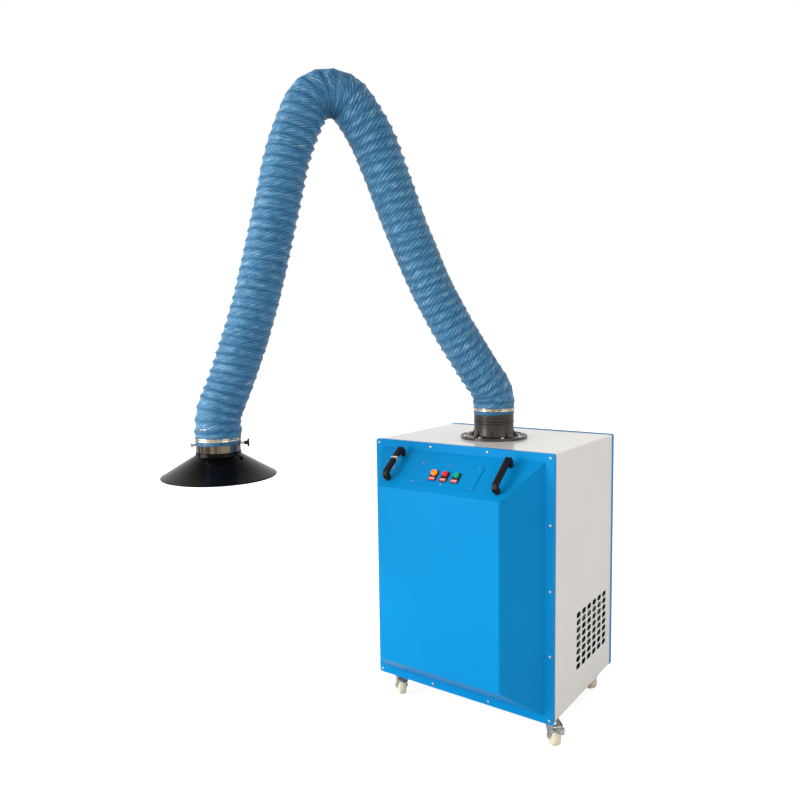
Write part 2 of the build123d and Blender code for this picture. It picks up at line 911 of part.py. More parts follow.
def make_collar():
    """The bright collar between hose and hood, with a stirrup over the damper for the wrist pin's ears."""
    top = hose_hood_straight
    reach = duct_radius - collar_wall / 2
    collar = ring(duct_radius, duct_radius - collar_wall, hood_neck_low, top)
    collar += ears(tongue_thickness, stirrup_low, stirrup_low + web_height, wrist_distance, reach)
    for side in (-1, 1):
        y0, y1 = sorted((side * (reach - web_thickness), side * reach))
        collar += box(-web_thickness / 2, web_thickness / 2, y0, y1, top - web_height, stirrup_low + web_height)
    collar -= Pos(0, 0, wrist_distance) * Rot(90, 0, 0) * Cylinder(pin_radius, 2 * duct_radius)
    shaft_hole = damper_shaft_radius + damper_shaft_clearance
    collar -= Pos(0, 0, -damper_below_hose) * Rot(0, 90, 0) * Cylinder(shaft_hole, 3 * duct_radius)
    return one(collar)


def make_cone():
    """The spun hood: a short neck over the collar, a straight flare and a rolled rim."""
    neck = duct_radius + hood_neck_gap
    top = hood_neck_low + hood_neck_height
    outline = Plane.XZ * Polygon(
        (neck, hood_neck_low),
        (neck, top),
        (neck + hood_wall, top),
        (neck + hood_wall, hood_neck_low + hood_wall),
        (hood_rim_radius, hood_rim_low + hood_wall),
        (hood_rim_radius, hood_rim_low),
        align=None,
    )
    cone = revolve(outline, Axis.Z)
    bead_place = Plane.XZ * Pos(hood_rim_radius - hood_bead_radius / 2, hood_rim_low + hood_bead_radius / 2)
    cone += revolve(bead_place * RegularPolygon(hood_bead_radius, hood_bead_sides), Axis.Z)
    return one(cone)


def make_damper():
    """The throttle disc with its shaft across the collar and the nut on its far end."""
    half = duct_radius + damper_bolt_reach
    shaft = Rot(0, 90, 0) * Cylinder(damper_shaft_radius, 2 * half)
    disc = Rot(90, 0, 0) * Cylinder(damper_radius, damper_thickness)
    nut = Pos(half - damper_bolt_length, 0, 0) * Rot(0, 90, 0) * Cylinder(damper_bolt_radius, damper_bolt_length)
    return Pos(0, 0, -damper_below_hose) * (shaft + disc + nut)


def make_knob():
    """The round knob on the damper's shaft."""
    x0 = -duct_radius - knob_reach
    outline = Plane.XZ * Polygon(
        (x0, damper_shaft_radius),
        (x0, knob_waist_radius),
        (x0 - knob_length + knob_rim, knob_waist_radius),
        (x0 - knob_length + knob_rim, knob_radius),
        (x0 - knob_length, knob_radius),
        (x0 - knob_length, damper_shaft_radius),
        align=None,
    )
    knob = revolve(outline, Axis.X)
    rim = knob.edges().filter_by(GeomType.CIRCLE).group_by(SortBy.RADIUS)[-1]
    knob = chamfer(rim, collar_wall)
    plug_low = -duct_radius - damper_bolt_reach
    cap = Pos((plug_low + x0 - knob_length) / 2, 0, 0)
    cap = cap * Rot(0, 90, 0) * Cylinder(damper_shaft_radius, plug_low - x0 + knob_length)
    return Pos(0, 0, -damper_below_hose) * (knob + cap)


# Casters, drawn about their swivel axis with the wheel trailing along +x


def caster_places():
    """The swivel axis of each caster."""
    return {
        "front_right": (caster_across, caster_front_y),
        "front_left": (-caster_across, caster_front_y),
        "rear_right": (caster_across, caster_rear_y),
        "rear_left": (-caster_across, caster_rear_y),
    }


def caster_bolt_places():
    """Bolt centres on a caster's plate, from its middle."""
    half_x, half_y = caster_bolt_spacing_long / 2, caster_bolt_spacing_wide / 2
    return [(i * half_x, j * half_y) for i in (-1, 1) for j in (-1, 1)]


def place_caster(shape, corner):
    """Turn a caster's piece and put it at its corner."""
    x, y = caster_places()[corner]
    return Pos(x, y, 0) * Rot(0, 0, caster_turns[corner]) * shape


axle_height = wheel_radius - floor_clearance
race_low = shell_low - caster_plate_thickness - caster_race_height
fork_top = race_low - joint_gap
leg_inner = wheel_width / 2 + fork_gap
leg_outer = leg_inner + fork_thickness
pedal_x = wheel_trail + wheel_radius - pedal_thickness
pedal_z = fork_top - pedal_drop


def make_caster_plates():
    """The four bolted plates with their ball races."""
    plates = []
    for x, y in caster_places().values():
        plate = Box(caster_plate_length, caster_plate_width, caster_plate_thickness)
        plate = fillet(plate.edges().filter_by(Axis.Z), wheel_edge_radius)
        plate = Pos(x, y, shell_low - caster_plate_thickness / 2) * plate
        plate += drum(caster_race_radius, race_low, shell_low - caster_plate_thickness, x, y)
        plate -= drum(caster_stem_radius, race_low - overrun, shell_low + overrun, x, y)
        for dx, dy in caster_bolt_places():
            plate -= drum(caster_bolt_radius, race_low, shell_low + overrun, x + dx, y + dy)
        plates.append(plate)
    return plates


def make_caster_bolts():
    """The bolts that hold the caster plates."""
    bolts = []
    head_top = shell_low - caster_plate_thickness
    shank_top = shell_low + base_plate_thickness
    for x, y in caster_places().values():
        for dx, dy in caster_bolt_places():
            head_low = head_top - caster_bolt_head_height
            head = extrude(
                Pos(x + dx, y + dy, head_low) * RegularPolygon(caster_bolt_head_radius, 6),
                amount=caster_bolt_head_height,
            )
            bolts.append(head + drum(caster_bolt_radius, head_top, shank_top, x + dx, y + dy))
    return bolts


def make_fork():
    """The pressed fork with its swivel stem, and ears where the brake pedal pivots."""
    head = drum(fork_head_radius, fork_top - fork_thickness, fork_top)
    bridge = box(0, pedal_x, -leg_outer, leg_outer, fork_top - fork_thickness, fork_top)
    legs = Plane.XZ * Polygon(
        (-fork_head_radius / 2, fork_top),
        (pedal_x, fork_top),
        (pedal_x, pedal_z - 2 * pedal_pivot_radius),
        (wheel_trail + fork_leg_foot_radius, axle_height),
        (wheel_trail, axle_height - fork_leg_foot_radius),
        (wheel_trail - fork_leg_foot_radius, axle_height),
        align=None,
    )
    sides = extrude(legs, amount=leg_outer, both=True) - extrude(legs, amount=leg_inner, both=True)
    fork = head + bridge + sides
    fork -= box(
        wheel_trail - wheel_radius / 2,
        pedal_x + overrun,
        -leg_inner,
        leg_inner,
        fork_top - 2 * fork_thickness,
        fork_top + overrun,
    )
    fork += drum(caster_stem_radius - joint_gap, fork_top - fork_thickness, shell_low - fit_gap)
    fork -= Pos(wheel_trail, 0, axle_height) * Rot(90, 0, 0) * Cylinder(axle_radius, 3 * leg_outer)
    fork -= Pos(pedal_x - 2 * pedal_pivot_radius, 0, pedal_z) * Rot(90, 0, 0) * Cylinder(
        pedal_pivot_radius + pin_clearance, 3 * leg_outer
    )
    return one(fork)


def make_axle():
    """The axle bolt with its two nuts."""
    axle = Rot(90, 0, 0) * Cylinder(axle_radius, 2 * (leg_outer + axle_nut_height))
    for side in (-1, 1):
        nut = extrude(Plane.XZ * RegularPolygon(axle_nut_radius, 6), amount=axle_nut_height / 2, both=True)
        axle += Pos(0, side * (leg_outer + axle_nut_height / 2), 0) * nut
    return Pos(wheel_trail, 0, axle_height) * axle


def make_wheel():
    """The solid wheel with dished sides and a hub as wide as the fork."""
    half = wheel_width / 2
    hub_half = leg_inner - joint_gap
    rim_inner = wheel_radius - 2 * wheel_edge_radius
    profile = Plane.XY * Polygon(
        (axle_radius + axle_clearance, -hub_half),
        (wheel_hub_radius, -hub_half),
        (wheel_hub_radius + wheel_dish, -half + wheel_dish),
        (rim_inner, -half + wheel_dish),
        (rim_inner + wheel_dish, -half),
        (wheel_radius - wheel_edge_radius, -half),
        (wheel_radius, -half + wheel_edge_radius),
        (wheel_radius, half - wheel_edge_radius),
        (wheel_radius - wheel_edge_radius, half),
        (rim_inner + wheel_dish, half),
        (rim_inner, half - wheel_dish),
        (wheel_hub_radius + wheel_dish, half - wheel_dish),
        (wheel_hub_radius, hub_half),
        (axle_radius + axle_clearance, hub_half),
        align=None,
    )
    return Pos(wheel_trail, 0, axle_height) * revolve(profile, Axis.Y)


def make_pedal():
    """The brake pedal: a tapered tread on a pivot between the fork's ears."""
    pivot_x = pedal_x - 2 * pedal_pivot_radius
    half = leg_inner - joint_gap
    tread = Pos(0, 0, pedal_z - pedal_thickness / 2) * Polygon(
        (pivot_x, -half),
        (pedal_x + fork_gap, -half),
        (pedal_x + fork_gap, -pedal_width / 2),
        (pedal_x + pedal_length, -pedal_tip_width / 2),
        (pedal_x + pedal_length, pedal_tip_width / 2),
        (pedal_x + fork_gap, pedal_width / 2),
        (pedal_x + fork_gap, half),
        (pivot_x, half),
        align=None,
    )
    tread = extrude(tread, amount=pedal_thickness)
    barrel = Pos(pivot_x, 0, pedal_z) * Rot(90, 0, 0) * Cylinder(2 * pedal_pivot_radius, 2 * half)
    pin = Pos(pivot_x, 0, pedal_z) * Rot(90, 0, 0) * Cylinder(pedal_pivot_radius, 2 * leg_outer)
    return one(tread + barrel + pin)


# Inside the cabinet


def make_tube_sheet():
    """The partition between the dusty and the clean side, holed under the filter."""
    plate = box(
        -inner_half + fit_gap,
        inner_half - fit_gap,
        inside_front,
        inside_back,
        tube_sheet_height,
        tube_sheet_height + tube_sheet_thickness,
    )
    plate -= drum(filter_seat_radius, 0, cabinet_height, 0, filter_y)
    return one(plate)


filter_low = tube_sheet_height + tube_sheet_thickness


def make_filter():
    """The pleated cartridge between its two end caps."""
    low, high = filter_low + filter_cap_thickness, filter_low + filter_height - filter_cap_thickness
    points = []
    for i in range(2 * filter_pleats):
        radius = filter_radius - filter_cap_thickness / 2 - (filter_pleat_depth if i % 2 else 0)
        a = math.pi * i / filter_pleats
        points.append((radius * math.cos(a), radius * math.sin(a)))
    media = extrude(Pos(0, 0, low) * Polygon(*points, align=None), amount=high - low)
    caps = drum(filter_radius, filter_low, low) + drum(filter_radius, high, high + filter_cap_thickness)
    bore = drum(filter_core_radius, filter_low - overrun, high)
    cartridge = media + caps - bore - drum(tie_rod_radius + fit_gap, low, cabinet_height)
    return Pos(0, filter_y, 0) * one(cartridge)


def make_filter_tie():
    """The rod and nut that pull the cartridge down on a bar under the tube sheet."""
    top = filter_low + filter_height
    rod = drum(tie_rod_radius, tube_sheet_height - base_plate_thickness, top + 2 * tie_nut_height)
    nut = drum(tie_nut_radius, top, top + tie_nut_height)
    half = filter_seat_radius + 2 * tie_nut_height
    bar_low = tube_sheet_height - base_plate_thickness
    bar = box(-half, half, -tie_nut_height, tie_nut_height, bar_low, tube_sheet_height)
    return Pos(0, filter_y, 0) * (rod + nut + bar)


def make_baffle():
    """The spark baffle: a round plate hung under the inlet on legs."""
    top = shell_high - sheet
    plate = drum(baffle_radius, top - baffle_drop - baffle_thickness, top - baffle_drop)
    for i in range(baffle_leg_count):
        a = 2 * math.pi * i / baffle_leg_count
        reach = (duct_radius + baffle_radius) / 2
        plate += drum(baffle_leg_radius, top - baffle_drop, top, reach * math.cos(a), reach * math.sin(a))
    return Pos(0, inlet_y, 0) * plate


def make_dust_tray():
    """The shallow tray on the tube sheet, with a collar that keeps dust out of the filter's seat."""
    low = filter_low
    y0, y1 = filter_y - tray_depth / 2, filter_y + tray_depth / 2
    tray = box(-tray_width / 2, tray_width / 2, y0, y1, low, low + tray_height)
    tray -= box(
        -tray_width / 2 + tray_wall,
        tray_width / 2 - tray_wall,
        y0 + tray_wall,
        y1 - tray_wall,
        low + tray_wall,
        low + tray_height + overrun,
    )
    tray += drum(tray_collar_radius, low, low + tray_height, 0, filter_y)
    tray -= drum(tray_collar_radius - tray_wall, low - overrun, low + tray_height + overrun, 0, filter_y)
    return one(tray)


def fan_outline(inset):
    """The blower casing seen from above: a round drum with a straight outlet to the right."""
    outlet_end = inner_half - fit_gap
    drum_face = Pos(fan_x, filter_y) * Circle(fan_radius - inset)
    duct = Pos((fan_x + outlet_end) / 2, (fan_outlet_front_y + fan_outlet_rear_y) / 2) * Rectangle(
        outlet_end - fan_x, fan_outlet_rear_y - fan_outlet_front_y - 2 * inset
    )
    return drum_face + duct


def make_fan_housing():
    """The blower casing with its inlet cone up to the tube sheet and its outlet at the grille."""
    casing = extrude(Pos(0, 0, fan_low) * fan_outline(0), amount=fan_height)
    inlet_low = fan_low + fan_height - overrun
    inlet_high = tube_sheet_height - fit_gap - base_plate_thickness
    inlet = drum(filter_seat_radius, inlet_low, inlet_high, 0, filter_y)
    casing += inlet
    casing -= extrude(Pos(0, 0, fan_low + fan_wall) * fan_outline(fan_wall), amount=fan_height - 2 * fan_wall)
    casing -= box(
        fan_x + fan_radius,
        inner_half,
        fan_outlet_front_y + fan_wall,
        fan_outlet_rear_y - fan_wall,
        fan_low + fan_wall,
        fan_low + fan_height - fan_wall,
    )
    casing -= drum(filter_seat_radius - fan_wall, inlet_low - overrun, tube_sheet_height, 0, filter_y)
    casing -= drum(motor_shaft_radius + fan_wall, fan_low - overrun, fan_low + overrun, fan_x, filter_y)
    return one(casing)


def make_impeller():
    """The backward-curved impeller between its two plates."""
    low = fan_low + fan_wall + impeller_margin
    high = fan_low + fan_height - fan_wall - impeller_margin
    wheel = drum(impeller_radius, low, low + impeller_plate)
    wheel += drum(impeller_hub_radius, low, (low + high) / 2)
    wheel += ring(impeller_radius, filter_seat_radius, high - impeller_plate, high)
    span = impeller_radius - impeller_hub_radius - impeller_blade_thickness
    blade_low, blade_high = low + impeller_plate / 2, high - impeller_plate / 2
    blade = box(0, span, -impeller_blade_thickness / 2, impeller_blade_thickness / 2, blade_low, blade_high)
    blade = Pos(impeller_hub_radius, 0, 0) * blade
    blade = Pos(impeller_hub_radius, 0, 0) * Rot(0, 0, impeller_blade_lean) * Pos(-impeller_hub_radius, 0, 0) * blade
    for i in range(impeller_blades):
        wheel += Rot(0, 0, 360 * i / impeller_blades) * blade
    wheel &= drum(impeller_radius, low, high)
    wheel -= drum(motor_shaft_radius + axle_clearance, low - overrun, high)
    return Pos(fan_x, filter_y, 0) * one(wheel)


def make_motor():
    """The upright motor with its flange under the blower casing, its feet and its shaft."""
    foot_low = shell_low + base_plate_thickness
    flange_top = fan_low - joint_gap
    body = drum(motor_radius, foot_low + motor_foot_height, flange_top - motor_flange_thickness)
    body = chamfer(body.edges().group_by(Axis.Z)[0], motor_foot_height / 2)
    body += drum(motor_flange_radius, flange_top - motor_flange_thickness, flange_top)
    body += box(
        -motor_foot_span / 2,
        motor_foot_span / 2,
        -motor_radius / 2,
        motor_radius / 2,
        foot_low,
        foot_low + 2 * motor_foot_height,
    )
    body += drum(motor_shaft_radius, flange_top - overrun, fan_low + fan_height / 2)
    return Pos(fan_x, filter_y, 0) * one(body)


def make_electrical_box():
    """The box with the contactor and terminals on the left wall."""
    x0 = -inner_half
    case = box(
        x0,
        x0 + electrical_width,
        electrical_y,
        electrical_y + electrical_depth,
        electrical_low,
        electrical_low + electrical_height,
    )
    return fillet(case.edges().filter_by(Axis.X), electrical_radius)


def make_gland():
    """The cable gland through the back, bored for the supply lead."""
    body = Pos(0, 0, (gland_body_length - gland_inside_length) / 2) * Cylinder(
        gland_body_radius, gland_body_length + gland_inside_length
    )
    nut = extrude(RegularPolygon(gland_nut_radius, 6), amount=gland_nut_length)
    inner_nut_top = -sheet - fit_gap
    inner_nut = Pos(0, 0, inner_nut_top - gland_nut_length) * RegularPolygon(gland_nut_radius, 6)
    inner_nut = extrude(inner_nut, amount=gland_nut_length)
    cap = Pos(0, 0, gland_body_length + gland_cap_length / 2) * Cylinder(gland_cap_radius, gland_cap_length)
    cap = fillet(cap.edges().group_by(Axis.Z)[-1], gland_bore_radius / 2)
    gland = body + nut + inner_nut + cap
    gland -= Cylinder(gland_bore_radius, 2 * (gland_body_length + gland_cap_length + gland_inside_length))
    return Pos(gland_x, cabinet_depth, gland_z) * Rot(-90, 0, 0) * one(gland)


def build_pieces():
    """Every node by name, as a list of solids in the cabinet's own frame."""
    first_split = nearest_valley(hose_base_piece)
    lower_split = nearest_valley(stretch_end(4) - hose_elbow_margin)
    elbow_split = nearest_valley(stretch_end(5) + hose_elbow_margin)
    upper_split = nearest_valley(hose_length - hose_hood_piece)
    pieces = {
        "top_panel": make_top_panel(),
        "left_side_panel": make_side_panel(-1),
        "right_side_panel": make_side_panel(1),
        "base_plate": make_base_plate(),
        "panel_frames": [make_frame(shell_inset), make_frame(cabinet_depth - frame_back)],
        "front_panel": make_front_panel(),
        "rear_panel": make_rear_panel(),
        "panel_screws": make_panel_screws(),
        "control_plate": make_control_plate(),
        "button_bezels": make_bezels(),
        "legend_plates": make_legends(),
        "indicator_lamp": make_lamp(),
        "stop_button": make_button(0),
        "start_button": make_button(1),
        "handle_left": make_handle(-1),
        "handle_right": make_handle(1),
        "bevel_fasteners": make_control_screws() + make_handle_bolts(),
        "base_flange": make_base_flange(),
        "flange_screws": make_flange_screws(),
        "swivel_sleeve": in_arm_plane(make_sleeve()),
        "base_clamp": in_arm_plane(clamp_band(hose_start + clamp_offset + clamp_width / 2)),
        "shoulder_pin": in_arm_plane(make_pin(shoulder, shoulder_pin_width)),
        "lower_link": in_arm_plane(make_lower_link()),
        "elbow_pin": in_arm_plane(make_pin(elbow, elbow_pin_width)),
        "upper_link": in_arm_plane(make_upper_link()),
        "wrist_pin": in_arm_plane(make_pin(wrist, wrist_pin_width)),
        "hood_collar": at_hood(make_collar()),
        "hood_cone": at_hood(make_cone()),
        "hood_clamp": at_hood(clamp_band(clamp_offset + clamp_width / 2)),
        "damper_disc": at_hood(make_damper()),
        "damper_knob": at_hood(make_knob()),
        "hose_base_bend": in_arm_plane(make_hose(0, first_split, 1)),
        "hose_lower_run": in_arm_plane(make_hose(first_split, lower_split, 2)),
        "hose_elbow_bend": in_arm_plane(make_hose(lower_split, elbow_split, 1)),
        "hose_upper_run": in_arm_plane(make_hose(elbow_split, upper_split, 2)),
        "hose_hood_bend": in_arm_plane(make_hose(upper_split, rib_count, 1)),
        "caster_plates": make_caster_plates(),
        "caster_bolts": make_caster_bolts(),
        "tube_sheet": make_tube_sheet(),
        "filter_cartridge": make_filter(),
        "filter_tie_rod": make_filter_tie(),
        "spark_baffle": make_baffle(),
        "dust_tray": make_dust_tray(),
        "fan_housing": make_fan_housing(),
        "fan_impeller": make_impeller(),
        "fan_motor": make_motor(),
        "electrical_box": make_electrical_box(),
        "cable_gland": make_gland(),
    }
    for corner in caster_places():
        pieces["caster_fork_" + corner] = [
            place_caster(make_fork(), corner),
            place_caster(make_axle(), corner),
        ]
        pieces["caster_wheel_" + corner] = place_caster(make_wheel(), corner)
        pieces["brake_pedal_" + corner] = place_caster(make_pedal(), corner)
    return pieces


def as_compound(piece):
    """One compound of a node's solids."""
    shapes = piece if isinstance(piece, list) else [piece]
    solids = [solid for shape in shapes for solid in shape.solids()]
    return Compound(children=solids)


def floor_centre(nodes):
    """The middle of the whole unit's outline, down on the floor."""
    boxes = [node.bounding_box() for node in nodes]
    middle_x = (min(b.min.X for b in boxes) + max(b.max.X for b in boxes)) / 2
    middle_y = (min(b.min.Y for b in boxes) + max(b.max.Y for b in boxes)) / 2
    return Vector(middle_x, middle_y, -floor_clearance)


drawn = {name: as_compound(piece) for name, piece in build_pieces().items()}
origin = floor_centre(drawn.values())
pieces = {name: Pos(-origin.X, -origin.Y, -origin.Z) * piece for name, piece in drawn.items()}

if __name__ == "__main__":
    os.makedirs("parts", exist_ok=True)
    for name, piece in pieces.items():
        export_step(piece, os.path.join("parts", name + ".step"))
    print("hose", round(hose_length), "mm long,", rib_count, "ribs, nodes", len(pieces))
    print("elbow", [round(v) for v in elbow], "wrist", [round(v) for v in wrist])
    print("hose end", [round(v, 1) for v in hood_end])
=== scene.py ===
# %% [markdown]
# # A welding fume extractor, dressed for the camera
# The frame already holds every construction part at its real size and place. This notebook gives each part
# its finish, and models what a plain solid can't show: the pleated hose, the worm-drive bands, the glossy
# hood, the small screws and the casters. Each step first says what the real thing is.

# %% Load the frame
import json
import random
from math import cos, exp, floor, pi, radians, sin, sqrt

import bmesh
import bpy
from mathutils import Matrix, Vector, noise


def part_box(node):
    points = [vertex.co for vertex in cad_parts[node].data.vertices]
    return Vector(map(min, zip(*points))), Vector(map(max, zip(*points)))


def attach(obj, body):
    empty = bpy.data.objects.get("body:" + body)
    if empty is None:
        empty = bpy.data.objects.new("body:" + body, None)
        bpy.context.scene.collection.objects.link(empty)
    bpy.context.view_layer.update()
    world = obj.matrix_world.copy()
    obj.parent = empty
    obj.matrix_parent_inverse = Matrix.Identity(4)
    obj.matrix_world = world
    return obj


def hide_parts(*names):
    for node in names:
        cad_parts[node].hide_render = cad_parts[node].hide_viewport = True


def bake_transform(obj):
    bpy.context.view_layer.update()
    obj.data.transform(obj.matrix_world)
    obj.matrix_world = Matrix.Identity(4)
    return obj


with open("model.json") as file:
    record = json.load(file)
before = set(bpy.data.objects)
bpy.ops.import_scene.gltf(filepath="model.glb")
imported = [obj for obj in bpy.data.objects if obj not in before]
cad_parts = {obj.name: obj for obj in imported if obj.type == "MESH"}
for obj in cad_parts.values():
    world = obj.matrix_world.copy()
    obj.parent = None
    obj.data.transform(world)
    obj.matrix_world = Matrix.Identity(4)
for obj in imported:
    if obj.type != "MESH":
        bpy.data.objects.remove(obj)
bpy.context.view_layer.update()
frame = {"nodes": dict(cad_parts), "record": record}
scene = bpy.context.scene
mm = 0.001

# %% [markdown]
# ## Places on the cabinet
# It is easier to think of a cabinet in its own terms: millimetres across, back and up from the lower edge
# of its front cover. One matrix carries such places into the frame, so every new piece can be drawn in
# millimetres and still lands where the real part is. The front cover's own box says where the cabinet is.

# %% The cabinet's own axes
bulge_depth = 162
bulge_face_high = 834
bulge_foot_high = 960
inlet_back = 283
cover_low, cover_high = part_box("front_panel")
home = Vector(((cover_low.x + cover_high.x) / 2, cover_low.y + bulge_depth * mm, cover_low.z))
cabinet = Matrix.Translation(home) @ Matrix.Scale(mm, 4)
floor_height = -home.z / mm
print("the cabinet's front edge is", round(-floor_height), "mm above the floor")


def turn(degrees, axis):
    """A turn about one axis, as a matrix."""
    return Matrix.Rotation(radians(degrees), 4, axis)


def move(x=0, y=0, z=0):
    """A shift in millimetres, as a matrix."""
    return Matrix.Translation((x, y, z))


def upright(x_direction, z_direction, place=(0, 0, 0)):
    """A matrix whose x and z axes point along two directions that are square to each other."""
    x_axis = Vector(x_direction).normalized()
    z_axis = Vector(z_direction).normalized()
    y_axis = z_axis.cross(x_axis)
    rows = Matrix((x_axis, y_axis, z_axis)).transposed().to_4x4()
    return Matrix.Translation(place) @ rows


bevel_rise = bulge_foot_high - bulge_face_high
bevel = upright((1, 0, 0), (0, -bevel_rise, bulge_depth), (0, -bulge_depth, bulge_face_high))

# %% [markdown]
# ## Writing a material as a sum
# Shader maths drawn as nodes is hard to read. This small class wraps a node's output socket and gives it
# the signs + - and *, so that a mask can be written as `1 - dust * 0.4`, and the Math nodes appear by
# themselves. Every other node comes from one method that takes its settings first and its inputs after. A
# `Finish` is a material that is written in this way, with short names for what most finishes need.


# %% A socket that can be calculated with
class Value:
    """The output of a shader node, with arithmetic that adds Math nodes."""

    def __init__(self, socket):
        self.socket = socket

    def math(self, operation, *others):
        """A Math node on this value and others, in the tree that owns the socket."""
        node = self.socket.id_data.nodes.new("ShaderNodeMath")
        node.operation = operation
        for number, item in enumerate((self,) + others):
            plug_in(node.inputs[number], item)
        return Value(node.outputs[0])

    def __add__(self, other):
        return self.math("ADD", other)

    def __sub__(self, other):
        return self.math("SUBTRACT", other)

    def __rsub__(self, other):
        return (self * -1) + other

    def __mul__(self, other):
        return self.math("MULTIPLY", other)

    __radd__ = __add__
    __rmul__ = __mul__

    def between(self, low, high):
        """0 below low, 1 above high and smooth between."""
        settings = {"interpolation_type": "SMOOTHSTEP"}
        inputs = {"Value": self, "From_Min": low, "From_Max": high}
        return Shading(self.socket.id_data).node("ShaderNodeMapRange", settings, "Result", **inputs)


def plug_in(socket, item):
    """Links a value to a socket, or sets the socket to a plain number or colour."""
    if isinstance(item, Value):
        socket.id_data.links.new(item.socket, socket)
    else:
        socket.default_value = item


def fill(node, inputs):
    """Fills the sockets of a node; an underscore stands for a space in a socket's name."""
    for name, item in inputs.items():
        plug_in(node.inputs[name.replace("_", " ")], item)


class Shading:
    """A node tree that is written node by node."""

    def __init__(self, tree):
        self.tree = tree

    def node(self, kind, settings=(), output=0, **inputs):
        """Any node: its settings first, then the values or links of its sockets."""
        node = self.tree.nodes.new(kind)
        for name, item in dict(settings).items():
            setattr(node, name, item)
        fill(node, inputs)
        return Value(node.outputs[output])


# %% A finish is a material under construction
finishes = {}
mix_share, mix_first, mix_second, mix_colour = 0, 6, 7, 2


def paint(red, green, blue):
    """A colour as it is seen on a screen, 0 to 255, made linear for the shader."""
    def linear(level):
        share = level / 255
        return share / 12.92 if share <= 0.04045 else ((share + 0.055) / 1.055) ** 2.4

    return (linear(red), linear(green), linear(blue), 1)


class Finish(Shading):
    """A named material: its surface shader and shortcuts for common patterns."""

    def __init__(self, name, **surface):
        material = bpy.data.materials.new("finish_" + name)
        material.use_nodes = True
        super().__init__(material.node_tree)
        self.shader = self.tree.nodes["Principled BSDF"]
        self.set(**surface)
        finishes[name] = material

    def set(self, **surface):
        """Sets or links sockets of the surface shader."""
        fill(self.shader, surface)

    def noise(self, scale, detail=2, roughness=0.5, stretch=(1, 1, 1)):
        """Cloudy noise, about 0.5 on average; scale is in clouds per metre."""
        point = self.node("ShaderNodeTexCoord", output="Object")
        point = self.node("ShaderNodeMapping", Vector=point, Scale=stretch)
        return self.node("ShaderNodeTexNoise", Vector=point, Scale=scale, Detail=detail, Roughness=roughness)

    def attribute(self, name, output="Fac"):
        """A number, or with output="Vector" a vector, that the mesh carries at each of its points."""
        return self.node("ShaderNodeAttribute", {"attribute_name": name}, output)

    def mix(self, share, first, second):
        """A colour between two; a Mix node has its colours at numbered sockets."""
        node = self.tree.nodes.new("ShaderNodeMix")
        node.data_type = "RGBA"
        for number, item in ((mix_share, share), (mix_first, first), (mix_second, second)):
            plug_in(node.inputs[number], item)
        return Value(node.outputs[mix_colour])

    def bump(self, height, depth, strength):
        """Relief on the surface; depth is in metres."""
        self.set(Normal=self.node("ShaderNodeBump", Height=height, Distance=depth, Strength=strength))


# %% [markdown]
# ## Powder coat
# Powder coat is sprayed dry and baked, so it flows into a skin with a faint orange-peel relief. The colour
# itself is even. The relief is a fine noise that only bends the highlights, and a slower noise lets the
# gloss vary a little, as it does over a big panel.


# %% Powder coats
def powder_coat(name, colour, shade, gloss, level, peel_strength):
    """A baked coat: an even colour with orange-peel relief."""
    coat = Finish(name, Metallic=0, Specular_IOR_Level=level)
    drift = coat.noise(3, detail=3).between(0.3, 0.7)
    coat.set(Base_Color=coat.mix(drift, paint(*colour), paint(*shade)))
    coat.set(Roughness=gloss + coat.noise(40, detail=4) * 0.08)
    coat.bump(coat.noise(420), 0.0004, peel_strength)


powder_coat("blue_powder_coat", (0, 146, 212), (0, 142, 208), 0.32, 0.08, 0.25)
powder_coat("grey_powder_coat", (247, 242, 235), (244, 239, 233), 0.13, 0.5, 0.08)

# %% [markdown]
# ## Metals
# Bare metals take their colour from what they reflect. Zinc-plated sheet has soft cloudy spangles, turned
# parts have fine rings, and the polished band and collar show long streaks along their height, because thin
# sheet is never quite round. Here those streaks are painted reflections: a noise that is stretched far along
# one direction makes the metal's colour lighter and darker in long bands.


# %% Metals
def metal(name, colour, dull_tone_and_reflection, cloud_scale, stretch=(1, 1, 1), roughness=0.3, spread=0.15, relief=0):
    """A bare metal whose tint and gloss vary with a stretched noise; streaks in its tint are painted
    reflections.
    """
    skin = Finish(name, Metallic=1)
    clouds = skin.noise(cloud_scale, detail=4, stretch=stretch)
    skin.set(Base_Color=skin.mix(clouds.between(0.3, 0.7), paint(*colour), paint(*dull_tone_and_reflection)))
    skin.set(Roughness=roughness + (clouds - 0.5) * spread)
    if relief:
        skin.bump(clouds, relief, 0.5)


reflection_streaks = (1, 1, 0.02)
metal("zinc_sheet", (196, 199, 198), (170, 175, 176), 60, roughness=0.42)
metal("bright_screws", (226, 222, 214), (196, 192, 186), 300, roughness=0.28)
# On the band and the collar, the streaks of lighter and darker colour are painted reflections.
metal("stainless", (222, 212, 198), (150, 132, 112), 45, reflection_streaks, 0.16, 0.1, 0.004)
metal("collar_steel", (150, 134, 116), (36, 30, 30), 70, reflection_streaks, 0.2, 0.1, 0.003)
metal("arm_aluminium", (206, 208, 210), (184, 188, 192), 90, (1, 1, 0.1), 0.35)
metal("caster_zinc", (226, 228, 224), (178, 178, 172), 90, (1, 1, 1), 0.42, 0.3, 0.0006)
metal("fan_aluminium", (200, 202, 205), (176, 180, 184), 70, roughness=0.4)
